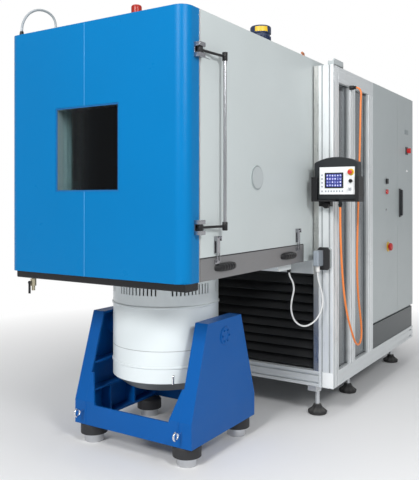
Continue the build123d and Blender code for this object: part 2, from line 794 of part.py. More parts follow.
with BuildPart() as startButton:
    axleX(buttonStem, (buttonY, startZ), (frameHalf - 16, frameHalf + 4.3))
    block((frameHalf + 4.3, frameHalf + 14), (buttonY - 20, buttonY + 20), (startZ - 20, startZ + 20))
save(startButton, "start_button")

with BuildPart() as stopButton:
    axleX(buttonStem, (buttonY, stopZ), (frameHalf - 16, frameHalf + 4.3))
    axleX(19, (buttonY, stopZ), (frameHalf + 4.3, frameHalf + 15))
save(stopButton, "stop_button")

with BuildPart() as emergencyStop:
    axleX(buttonStem, (emergencyY, emergencyZ), (frameHalf - 16, frameHalf + 14))
    axleX(29, (emergencyY, emergencyZ), (frameHalf + 14, frameHalf + 34))
    fillet(emergencyStop.edges().group_by(Axis.X)[-1], radius=10)
save(emergencyStop, "emergency_stop")

with BuildPart() as handleLever:
    with BuildSketch(Plane.YZ.offset(frameHalf + 10.3)) as lever:
        with Locations((handleY, handleZ)):
            SlotOverall(handleLong, 34, rotation=90)
    extrude(lever.sketch, amount=16)
    fillet(handleLever.edges().group_by(Axis.X)[-1], radius=5)
save(handleLever, "cabinet_handle")

with BuildPart() as switchKnob:
    axleX(21, (switchY, switchZ), (frameHalf + 9.3, frameHalf + 20))
    block((frameHalf + 20, frameHalf + 38), (switchY - 6, switchY + 6), (switchZ - 21, switchZ + 21))
save(switchKnob, "main_switch_knob")

# Operator panel
pendantMiddle = (pendantX[0] + pendantX[1]) / 2
pendantWide = pendantX[1] - pendantX[0]
with BuildPart() as pendantHousing:
    with BuildSketch(Plane.XZ.offset(-pendantFront - pendantDeep)) as face:
        with BuildLine():
            ThreePointArc((pendantX[0], pendantZ[1] - 34), (pendantMiddle, pendantZ[1]),
                          (pendantX[1], pendantZ[1] - 34))
            Polyline((pendantX[1], pendantZ[1] - 34), (pendantX[1], pendantZ[0]),
                     (pendantX[0], pendantZ[0]), (pendantX[0], pendantZ[1] - 34))
        make_face()
        fillet(face.vertices(), radius=16)
    extrude(face.sketch, amount=pendantDeep)
    fillet(pendantHousing.edges().group_by(Axis.Y)[0], radius=5)
    axleY(stopStem + 0.3, (controlX, panelHigh - 33), (pendantFront, pendantFront + 10), Mode.SUBTRACT)
    post(11, (glandX, glandY), (pendantZ[0] - 26, pendantZ[0]))
save(pendantHousing, "pendant_housing")

with BuildPart() as pendantPanel:
    block((panelLeft, panelRight), (pendantFront - 3, pendantFront), (panelLow, panelHigh))
    block((panelLeft + 35, panelRight - 71), (pendantFront - 6, pendantFront - 3),
          (panelHigh - 131, panelHigh - 35))
    axleY(stopStem + 0.3, (controlX, panelHigh - 33), (pendantFront - 3, pendantFront), Mode.SUBTRACT)
save(pendantPanel, "pendant_panel")

with BuildPart() as pendantStop:
    axleY(stopStem, (controlX, panelHigh - 33), (pendantFront - 13, pendantFront + 4))
    axleY(14, (controlX, panelHigh - 33), (pendantFront - 28, pendantFront - 13))
    fillet(pendantStop.edges().group_by(Axis.Y)[0], radius=5)
save(pendantStop, "pendant_stop")

with BuildPart() as pendantSelector:
    axleY(11, (controlX, panelHigh - 87), (pendantFront - 13, pendantFront - 3.3))
    block((controlX - 3, controlX + 3), (pendantFront - 22, pendantFront - 13),
          (panelHigh - 98, panelHigh - 76))
save(pendantSelector, "pendant_selector")

with BuildPart() as pendantKey:
    axleY(10, (controlX - 4, panelHigh - 136), (pendantFront - 8, pendantFront - 3.3))
    block((controlX - 5.5, controlX - 2.5), (pendantFront - 30, pendantFront - 8),
          (panelHigh - 146, panelHigh - 128))
save(pendantKey, "pendant_key")

holderTop = 1548.0
holderKnobZ = pendantZ[0] - 35
with BuildPart() as holder:
    backY = pendantFront + pendantDeep + holderGap
    lipY = pendantFront - 8 - holderGap
    block((holderLeft, holderRight), (backY, backY + holderWall), (pendantZ[0] - 12, holderTop))
    for x, lip in ((holderLeft, 38), (holderRight - holderWall, 24)):
        block((x, x + holderWall), (lipY, backY), (pendantZ[0] - 12, holderTop))
        lipX = (x, x + lip) if x == holderLeft else (x + holderWall - lip, x + holderWall)
        block(lipX, (lipY - holderWall, lipY), (pendantZ[0] - 12, holderTop))
    block((holderLeft, holderRight), (lipY - holderWall, backY), (pendantZ[0] - 12, pendantZ[0]))
    block((glandX - 15, glandX + 15), (lipY - holderWall, backY), (pendantZ[0] - 12, pendantZ[0]),
          Mode.SUBTRACT)
    block((columnInner + 20, frameHalf - 2), (backY + holderWall, frameFront), (1365, 1500))
save(holder, "pendant_holder")

with BuildPart() as holderKnob:
    axleY(20, (columnX + 25, holderKnobZ), (backY - 18, backY + holderWall - 0.3))
    fillet(holderKnob.edges().group_by(Axis.Y)[0], radius=4)
save(holderKnob, "holder_knob")

# Socket and plug of the tray lead
plugX = 665.0
plugY = 1368.0
with BuildPart() as socket:
    block((columnInner + 10, columnInner + 90), (frameFront - 40, frameFront), (960, 1104))
    chamfer(socket.edges().filter_by(Axis.Y), length=14)
    axleX(15, (postY, 2162), (frameHalf, frameHalf + 25))
save(socket, "cord_sockets")

with BuildPart() as plug:
    block((plugX - 19, plugX + 19), (plugY - 34, frameFront - 40), (989, 1085))
    fillet(plug.edges().group_by(Axis.Y)[0], radius=9)
    post(13, (plugX, plugY), (953, 989))
save(plug, "lead_plug")

# Cords, as routes of points chosen by hand
orangeRoute = [
    (760, 1757, 2162), (778, 1757, 2162), (794, 1756, 2155), (807, 1754, 2142), (813, 1752, 2126),
    (814, 1747, 2090), (813, 1741, 2020), (813, 1737, 1920), (812, 1733, 1790), (811, 1722, 1610),
    (811, 1706, 1420), (812, 1688, 1240), (812, 1676, 1070), (811, 1680, 910), (811, 1702, 760),
    (812, 1736, 650), (813, 1757, 565), (813, 1762, 506), (813, 1745, 462), (813, 1706, 444),
    (812, 1662, 458), (811, 1625, 492), (811, 1580, 553), (810, 1520, 640), (810, 1462, 760),
    (811, 1424, 890), (812, 1396, 1030), (813, 1378, 1165), (814, 1369, 1280), (814, 1369, 1381),
]
orangeCable = cord(orangeRoute, cordRadius)
save(orangeCable, "pendant_cable")

whiteRoute = [
    (550, 1190, 978), (550, 1190, 942), (566, 1214, 900), (571, 1222, 850), (562, 1208, 796),
    (557, 1201, 738), (565, 1213, 676), (584, 1242, 634), (611, 1283, 614), (640, 1327, 626),
    (664, 1364, 658), (681, 1389, 708), (688, 1401, 764), (682, 1392, 826), (670, 1375, 882),
    (665, 1368, 924), (665, 1368, 953),
]
whiteLead = cord(whiteRoute, leadRadius)
save(whiteLead, "tray_lead")

conduitRoute = [
    (-565, 61, 2336), (-565, 61, 2382), (-566, 84, 2434), (-566, 124, 2478), (-565, 182, 2508),
    (-563, 244, 2513), (-560, 296, 2494), (-557, 317, 2448), (-555, 305, 2394), (-555, 305, 2336),
]
conduit = cord(conduitRoute, conduitRadius)
save(conduit, "door_conduit")

# Shaker
with BuildPart() as shakerBody:
    with BuildSketch(Plane.XZ) as half_section:
        with BuildLine():
            Polyline(
                (tableRadius + 30, shakerTop), (shakerRadius - 20, shakerTop), (shakerRadius, shakerTop - 20),
                (shakerRadius, 822), (shakerRadius + 5, 818), (shakerRadius + 5, 810), (shakerRadius, 806),
                (shakerRadius, 492), (shakerRadius + 4, 489), (shakerRadius + 4, 481), (shakerRadius, 478),
                (shakerRadius, 400), (coneRadius, shakerLow), (0, shakerLow), (0, shakerLow + 40),
                (coneRadius - 40, shakerLow + 40), (shakerRadius - shakerWall, 470),
                (shakerRadius - shakerWall, shakerTop - 24), (tableRadius + 30, shakerTop - 24), close=True,
            )
        make_face()
    barrel = revolve(half_section.sketch, axis=Axis.Z, mode=Mode.PRIVATE)
    add(barrel.moved(Location((0, shakerY, 0))))
    with BuildSketch(Plane.XY.offset(ventLow)) as vents:
        with Locations((0, shakerY)):
            with PolarLocations(shakerRadius - shakerWall / 2, ventCount) as places:
                Rectangle(shakerWall + 16, ventWide)
            for turn in range(6):
                with Locations(Location((0, 0, 0), (0, 0, 60 * turn + 4))):
                    with Locations((shakerRadius - shakerWall / 2, 0)):
                        Rectangle(shakerWall + 20, 62, mode=Mode.SUBTRACT)
    extrude(vents.sketch, amount=ventHigh - ventLow, mode=Mode.SUBTRACT)
    for x in ((shakerRadius - 10, standHalf - plate), (-standHalf + plate, -shakerRadius + 10)):
        axleX(trunnionRadius, (shakerY, trunnionZ), x)
save(shakerBody, "shaker_body")

with BuildPart() as fieldMagnet:
    for low in (520.0, 760.0):
        post(shakerRadius - shakerWall, (0, shakerY), (low, low + 90))
        post(tableRadius + 40, (0, shakerY), (low, low + 90), Mode.SUBTRACT)
    post(shakerRadius - shakerWall, (0, shakerY), (650, 700))
    post(tableRadius + 12, (0, shakerY), (650, 700), Mode.SUBTRACT)
    post(90, (0, shakerY), (shakerLow + 40, 760))
    post(guideRod + shaftClear, (0, shakerY), (guideLow - 60, 760), Mode.SUBTRACT)
save(fieldMagnet, "field_magnet")

with BuildPart() as armature:
    post(tableRadius, (0, shakerY), (tableTop - 60, tableTop))
    post(tableRadius - 12, (0, shakerY), (tableTop - 60, tableTop - tableThick), Mode.SUBTRACT)
    post(tableRadius, (0, shakerY), (700, tableTop - 60))
    post(tableRadius - 10, (0, shakerY), (700, tableTop - 60), Mode.SUBTRACT)
    post(guideRod, (0, shakerY), (guideLow, tableTop - tableThick))
    with BuildSketch(Plane.XY.offset(tableTop - tableThick)) as inserts:
        with Locations((0, shakerY)):
            with PolarLocations(insertCircle / 2, insertCount):
                Circle(insertRadius)
            Circle(insertRadius)
    extrude(inserts.sketch, amount=tableThick, mode=Mode.SUBTRACT)
    fillet(armature.edges().group_by(Axis.Z)[-1].filter_by(lambda e: e.length > 6 * tableRadius), radius=2)
save(armature, "armature")

# Stand, a weldment of two tapered box cheeks and two cross plates
standSide = [
    (standFront, standLow), (standFront, standKnee), (standTopFront, standTop), (standTopRear, standTop),
    (standRear, standKnee), (standRear, standLow),
]
cheekInner = standHalf - cheekThick


def cheek(direction):
    # outer wall with rims and ribs on its inner side, open to the shaker
    outer = Plane.YZ.offset(direction * standHalf)
    with BuildSketch(outer) as outline:
        with BuildLine():
            Polyline(*standSide, close=True)
        make_face()
    extrude(outline.sketch, amount=-direction * cheekThick)
    with BuildSketch(Plane.YZ.offset(direction * cheekInner)) as pocket:
        with BuildLine():
            Polyline(*standSide, close=True)
        make_face()
        offset(amount=-plate, kind=Kind.INTERSECTION)
    extrude(pocket.sketch, amount=direction * (cheekThick - plate), mode=Mode.SUBTRACT)
    x = sorted((direction * cheekInner, direction * (standHalf - plate)))
    for height, reach in ((standKnee + 40, 300.0), (standKnee + 200, 250.0)):
        block(x, (shakerY - reach, shakerY + reach), (height, height + plate))
    for y in (shakerY - 120, shakerY + 108):
        block(x, (y, y + plate), (standLow, standKnee + 46))
    axleX(72, (shakerY, trunnionZ), x)
    axleX(51, (shakerY, trunnionZ), sorted((direction * standHalf, direction * (standHalf + 4))))
    axleX(trunnionRadius, (shakerY, trunnionZ), x, Mode.SUBTRACT)


with BuildPart() as standCheeks:
    cheek(1)
    cheek(-1)
save(standCheeks, "stand_cheeks")

flareTop = 400.0
windowHalf = 260.0
crossTop = 229.0


def crossPlate(base, top):
    # a plate that follows the front or rear edge of the cheeks, cut to a U
    lean = (top - base) * (flareTop - standKnee) / (standTop - standKnee)
    inward = plate if top > base else -plate
    with BuildSketch(Plane.YZ.offset(-cheekInner)) as edge:
        with BuildLine():
            Polyline((base, standLow), (base, standKnee), (base + lean, flareTop),
                     (base + lean + inward, flareTop), (base + inward, standKnee),
                     (base + inward, standLow), close=True)
        make_face()
    extrude(edge.sketch, amount=2 * cheekInner)
    with BuildSketch(Plane.XZ.offset(-standRear - wall)) as gap:
        with BuildLine():
            Polyline((-windowHalf, crossTop), (-cheekInner + 13, flareTop + 1),
                     (cheekInner - 13, flareTop + 1), (windowHalf, crossTop), close=True)
        make_face()
    extrude(gap.sketch, amount=standRear + 2 * wall, mode=Mode.SUBTRACT)


with BuildPart() as standPlates:
    crossPlate(standFront, standTopFront)
    crossPlate(standRear, standTopRear)
save(standPlates, "stand_cross_plates")

with BuildPart() as standFeet:
    for x in (-standFootX, standFootX):
        for y in standFootY:
            post(standFootRadius, (x, y), (standDisc, standLow))
            post(standFootRadius - 22, (x, y), (0, standDisc))
    fillet(standFeet.edges().group_by(Axis.Z)[-1], radius=10)
    chamfer(standFeet.edges().group_by(Axis.Z)[0], length=4)
save(standFeet, "stand_feet")

with BuildPart() as eyeBolts:
    for x in (-345.0, 345.0):
        for y, out in ((standFront, -1), (standRear, 1)):
            axleY(7, (x, 188), sorted((y, y + out * 32)))
            with Locations(Location((x, y + out * 50, 188), (0, 90, 0))):
                Torus(20, 5.5)
save(eyeBolts, "eye_bolts")
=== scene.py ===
import math

import bpy
import numpy as np
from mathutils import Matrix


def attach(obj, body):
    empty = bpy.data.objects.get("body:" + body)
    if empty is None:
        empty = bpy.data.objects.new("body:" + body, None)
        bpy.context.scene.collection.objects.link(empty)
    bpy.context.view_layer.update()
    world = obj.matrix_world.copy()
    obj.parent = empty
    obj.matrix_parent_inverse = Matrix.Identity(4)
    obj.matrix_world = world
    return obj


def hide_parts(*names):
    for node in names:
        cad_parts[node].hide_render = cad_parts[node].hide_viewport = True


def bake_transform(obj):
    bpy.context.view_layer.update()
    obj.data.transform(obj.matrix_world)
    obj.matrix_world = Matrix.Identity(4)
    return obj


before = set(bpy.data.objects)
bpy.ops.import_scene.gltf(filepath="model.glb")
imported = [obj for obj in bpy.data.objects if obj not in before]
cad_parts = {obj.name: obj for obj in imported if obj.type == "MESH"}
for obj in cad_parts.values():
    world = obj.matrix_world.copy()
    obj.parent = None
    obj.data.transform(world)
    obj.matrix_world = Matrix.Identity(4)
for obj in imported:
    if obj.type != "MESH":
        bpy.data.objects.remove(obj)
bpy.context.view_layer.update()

scene = bpy.context.scene
print("stage: frame loaded,", len(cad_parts), "nodes")

# The measures below are millimetres from the middle of the door's front face on the floor
machine = {"middle": (107.0, 1652.5, 0.0), "unit": 0.001}


def spot(*points):
    # places in millimetres, carried over to the frame's metres
    moved = (np.array(points, float).reshape(-1, 3) - machine["middle"]) * machine["unit"]
    return moved if len(points) > 1 else moved[0]


def feed(tree, socket, term):
    # a link where the term is a socket, a plain value otherwise
    if isinstance(term, bpy.types.NodeSocket):
        tree.links.new(term, socket)
    else:
        socket.default_value = term


def addNode(tree, kind, terms=None, **settings):
    node = tree.nodes.new("ShaderNode" + kind)
    for key, value in settings.items():
        setattr(node, key, value)
    for key, term in (terms or {}).items():
        feed(tree, node.inputs[key], term)
    return node


def calc(tree, operation, *terms, clamp=False):
    return addNode(tree, "Math", dict(enumerate(terms)), operation=operation, use_clamp=clamp).outputs[0]


def vectorCalc(tree, operation, *terms):
    output = "Value" if operation in ("LENGTH", "DOT_PRODUCT") else "Vector"
    return addNode(tree, "VectorMath", dict(enumerate(terms)), operation=operation).outputs[output]


def scaled(tree, colour, factor):
    return addNode(tree, "VectorMath", {0: colour, "Scale": factor}, operation="SCALE").outputs[0]


def mixColour(tree, factor, first, second):
    return addNode(tree, "Mix", {0: factor, 6: first, 7: second}, data_type="RGBA").outputs[2]


def mixValue(tree, factor, first, second):
    return addNode(tree, "Mix", {0: factor, 2: first, 3: second}).outputs[0]


def mixShader(tree, factor, first, second):
    return addNode(tree, "MixShader", {0: factor, 1: first.outputs[0], 2: second.outputs[0]})


def spread(tree, value, low, high, fromLow=0.3, fromHigh=0.7):
    # a noise value stretched over a range
    terms = {"Value": value, "From Min": fromLow, "From Max": fromHigh, "To Min": low, "To Max": high}
    return addNode(tree, "MapRange", terms).outputs[0]


def noise(tree, vector, scale, detail=2.0, roughness=0.5):
    terms = {"Vector": vector, "Scale": scale, "Detail": detail, "Roughness": roughness}
    return addNode(tree, "TexNoise", terms).outputs[0]


def swing(tree, value, strength, base, clamp=False):
    # a noise value about its middle, times a strength, on top of a base
    return calc(tree, "MULTIPLY_ADD", calc(tree, "SUBTRACT", value, 0.5), strength, base, clamp=clamp)


def newGroup(name, inputs, outputs):
    group = bpy.data.node_groups.new(name, "ShaderNodeTree")
    for label, kind, value in [("Vector", "Vector", None), *inputs]:
        socket = group.interface.new_socket(label, in_out="INPUT", socket_type="NodeSocket" + kind)
        if value is not None:
            socket.default_value = value
    for label, kind in outputs:
        group.interface.new_socket(label, in_out="OUTPUT", socket_type="NodeSocket" + kind)
    enter, leave = group.nodes.new("NodeGroupInput"), group.nodes.new("NodeGroupOutput")
    return group, enter.outputs, leave.inputs


# noises as (scale per metre, detail, roughness), and the limits between which their masks rise
grains = {"broad": (1.6, 3.0), "smear": (9.0, 6.0, 0.62), "flat": (0.55, 0.95), "dust": (0.56, 0.55, 0.52, 1),
          "wear": (60.0, 5.0, 0.65), "broken": (0.42, 0.62), "edge": (0.03, 0.2), "bevelSamples": 4,
          "drawn": (520.0, 3.0, 0.6), "cloud": (5.0, 5.0, 0.6), "drawnDepth": 0.0004}
skinOutputs = [("Colour", "Color"), ("Roughness", "Float"), ("Height", "Float")]


def makeCoatGroup():
    # colour, gloss and grain of a sprayed or moulded skin: broad patches, smears, fine grain, settled dust
    group, enter, leave = newGroup("coatSkin", [
        ("Colour", "Color", (0.5, 0.5, 0.5, 1)), ("Patch", "Float", 0.04), ("Roughness", "Float", 0.4),
        ("Smear", "Float", 0.06), ("Grain Size", "Float", 0.002), ("Dust", "Float", 0.08)], skinOutputs)
    broad = noise(group, enter["Vector"], *grains["broad"])
    smear = noise(group, enter["Vector"], *grains["smear"])
    fine = noise(group, enter["Vector"], calc(group, "DIVIDE", 1.0, enter["Grain Size"]))
    lift = swing(group, broad, calc(group, "MULTIPLY", enter["Patch"], 4.0), 1.0)
    toned = scaled(group, enter["Colour"], swing(group, fine, enter["Patch"], lift))
    normal = addNode(group, "NewGeometry").outputs["Normal"]
    upward = addNode(group, "SeparateXYZ", {0: normal}).outputs[2]
    settled = calc(group, "MULTIPLY", spread(group, upward, 0.0, 1.0, *grains["flat"]), enter["Dust"])
    settled = calc(group, "MULTIPLY", settled, spread(group, smear, 0.3, 1.0))
    gloss = swing(group, smear, calc(group, "MULTIPLY", enter["Smear"], 3.0), enter["Roughness"])
    gloss = calc(group, "ADD", gloss, calc(group, "MULTIPLY", settled, 0.4), clamp=True)
    feed(group, leave["Colour"], mixColour(group, settled, toned, grains["dust"]))
    feed(group, leave["Roughness"], gloss)
    feed(group, leave["Height"], calc(group, "MULTIPLY", fine, enter["Grain Size"]))
    return group


def makeEdgeGroup():
    # a rounded normal over sharp edges, and a mask along them, broken up by noise, that lightens them: partly
    # worn paint, partly a painted highlight
    group, enter, leave = newGroup("edgeWearAndHighlight", [("Radius", "Float", 0.0015), ("Amount", "Float", 0.3)],
                                   [("Mask", "Float"), ("Normal", "Vector")])
    rounded = addNode(group, "Bevel", {"Radius": enter["Radius"]}, samples=grains["bevelSamples"]).outputs[0]
    flat = addNode(group, "NewGeometry").outputs["Normal"]
    turn = calc(group, "SUBTRACT", 1.0, vectorCalc(group, "DOT_PRODUCT", rounded, flat))
    broken = spread(group, noise(group, enter["Vector"], *grains["wear"]), 0.0, 1.0, *grains["broken"])
    worn = calc(group, "MULTIPLY", spread(group, turn, 0.0, 1.0, *grains["edge"]), broken)
    feed(group, leave["Mask"], calc(group, "MULTIPLY", worn, enter["Amount"], clamp=True))
    feed(group, leave["Normal"], rounded)
    return group


def makeBrushGroup():
    # metal drawn or ground along one axis: the grain is noise stretched along it
    group, enter, leave = newGroup("brushedSkin", [
        ("Stretch", "Vector", (1, 1, 0.02)), ("Colour", "Color", (0.6, 0.6, 0.6, 1)),
        ("Contrast", "Float", 0.12), ("Roughness", "Float", 0.35)], skinOutputs)
    drawn = vectorCalc(group, "MULTIPLY", enter["Vector"], enter["Stretch"])
    lines = noise(group, drawn, *grains["drawn"])
    cloud = noise(group, enter["Vector"], *grains["cloud"])
    lift = swing(group, lines, enter["Contrast"], 1.0)
    lift = swing(group, cloud, enter["Contrast"], lift)
    gloss = swing(group, cloud, 0.25, enter["Roughness"])
    feed(group, leave["Colour"], scaled(group, enter["Colour"], lift))
    feed(group, leave["Roughness"], swing(group, lines, 0.3, gloss, clamp=True))
    feed(group, leave["Height"], calc(group, "MULTIPLY", lines, grains["drawnDepth"]))
    return group


def makeZoneGroup():
    # 1 inside an upright box of the frame, 0 outside it
    group, enter, leave = newGroup("zoneMask", [("Low", "Vector", (0, 0, 0)), ("High", "Vector", (1, 1, 1))],
                                   [("Mask", "Float")])
    above = vectorCalc(group, "SUBTRACT", enter["Vector"], enter["Low"])
    below = vectorCalc(group, "SUBTRACT", enter["High"], enter["Vector"])
    parts = addNode(group, "SeparateXYZ", {0: vectorCalc(group, "MINIMUM", above, below)}).outputs
    least = calc(group, "MINIMUM", calc(group, "MINIMUM", parts[0], parts[1]), parts[2])
    feed(group, leave["Mask"], calc(group, "GREATER_THAN", least, 0.0))
    return group


def makeRoundGroup():
    # 1 nearer to an upright axis than a radius, 0 beyond it
    group, enter, leave = newGroup("roundMask", [("Centre", "Vector", (0, 0, 0)), ("Radius", "Float", 0.3)],
                                   [("Mask", "Float")])
    away = vectorCalc(group, "SUBTRACT", enter["Vector"], enter["Centre"])
    length = vectorCalc(group, "LENGTH", vectorCalc(group, "MULTIPLY", away, (1, 1, 0)))
    feed(group, leave["Mask"], calc(group, "LESS_THAN", length, enter["Radius"]))
    return group


groups = {"coat": makeCoatGroup(), "round": makeRoundGroup(), "edge": makeEdgeGroup(),
          "brush": makeBrushGroup(), "zone": makeZoneGroup()}


def useGroup(tree, kind, vector, **values):
    node = tree.nodes.new("ShaderNodeGroup")
    node.node_tree = groups[kind]
    feed(tree, node.inputs["Vector"], vector)
    for key, value in values.items():
        feed(tree, node.inputs[key.replace("_", " ")], value)
    return node.outputs


def solid(colour):
    return (*colour, 1.0)


def newMaterial(name, space="Object"):
    # a material with its tree, its shader and the vector that its effects run on
    material = bpy.data.materials.new(name)
    material.use_nodes = True
    tree = material.node_tree
    return material, tree, tree.nodes["Principled BSDF"], addNode(tree, "TexCoord").outputs[space]


def setShader(tree, shader, terms):
    for key, term in terms.items():
        feed(tree, shader.inputs[key], term)


def makeFinish(name, look):
    # one finish: its skin, its edges and the zones of the same solid that wear another colour
    material, tree, shader, vector = newMaterial(name)
    if look.get("stretch"):
        skin = useGroup(tree, "brush", vector, Stretch=look["stretch"], Colour=solid(look["colour"]),
                        Contrast=look.get("contrast", 0.14), Roughness=look["roughness"])
    else:
        skin = useGroup(tree, "coat", vector, Colour=solid(look["colour"]), Patch=look.get("patch", 0.03),
                        Roughness=look["roughness"], Smear=look.get("smear", 0.05),
                        Grain_Size=look.get("grain", 0.002), Dust=look.get("dust", 0.08))
    plain = look.get("metallic", 0.0)
    colour, roughness, metallic = skin["Colour"], skin["Roughness"], plain
    for part in look.get("zones", ()):
        if "centre" in part:
            mask = useGroup(tree, "round", vector, Centre=spot(part["centre"]), Radius=part["radius"])["Mask"]
        else:
            low, high = spot(*zip(*part["box"]))
            mask = useGroup(tree, "zone", vector, Low=low, High=high)["Mask"]
        colour = mixColour(tree, mask, colour, solid(part["colour"]))
        roughness = mixValue(tree, mask, roughness, part.get("roughness", look["roughness"]))
        if part.get("metallic", plain) != plain:
            metallic = mixValue(tree, mask, metallic, part["metallic"])
    edge = useGroup(tree, "edge", vector, Radius=look.get("round", 0.0015), Amount=look.get("wear", 0.25))
    # edges lightened, as worn paint and as a painted highlight
    lighter = tuple(min(1, 0.25 + share) for share in look["colour"])
    colour = mixColour(tree, edge["Mask"], colour, solid(look.get("worn", lighter)))
    bump = addNode(tree, "Bump", {"Height": skin["Height"], "Normal": edge["Normal"],
                                  "Strength": look.get("relief", 0.25), "Distance": 1.0})
    setShader(tree, shader, {"Base Color": colour, "Roughness": roughness, "Metallic": metallic,
                             "Normal": bump.outputs[0], **look.get("shader", {})})
    return material


far = 9000.0
everywhere = (-far, far)
upright = (1.0, 1.0, 0.02)  # grain drawn along the height


def coat(colour, roughness, **more):
    return {"colour": colour, "roughness": roughness, **more}


def zone(colour, x=everywhere, y=everywhere, z=everywhere, **more):
    # the part of a solid inside a box, in another colour
    return {"box": (x, y, z), "colour": colour, **more}


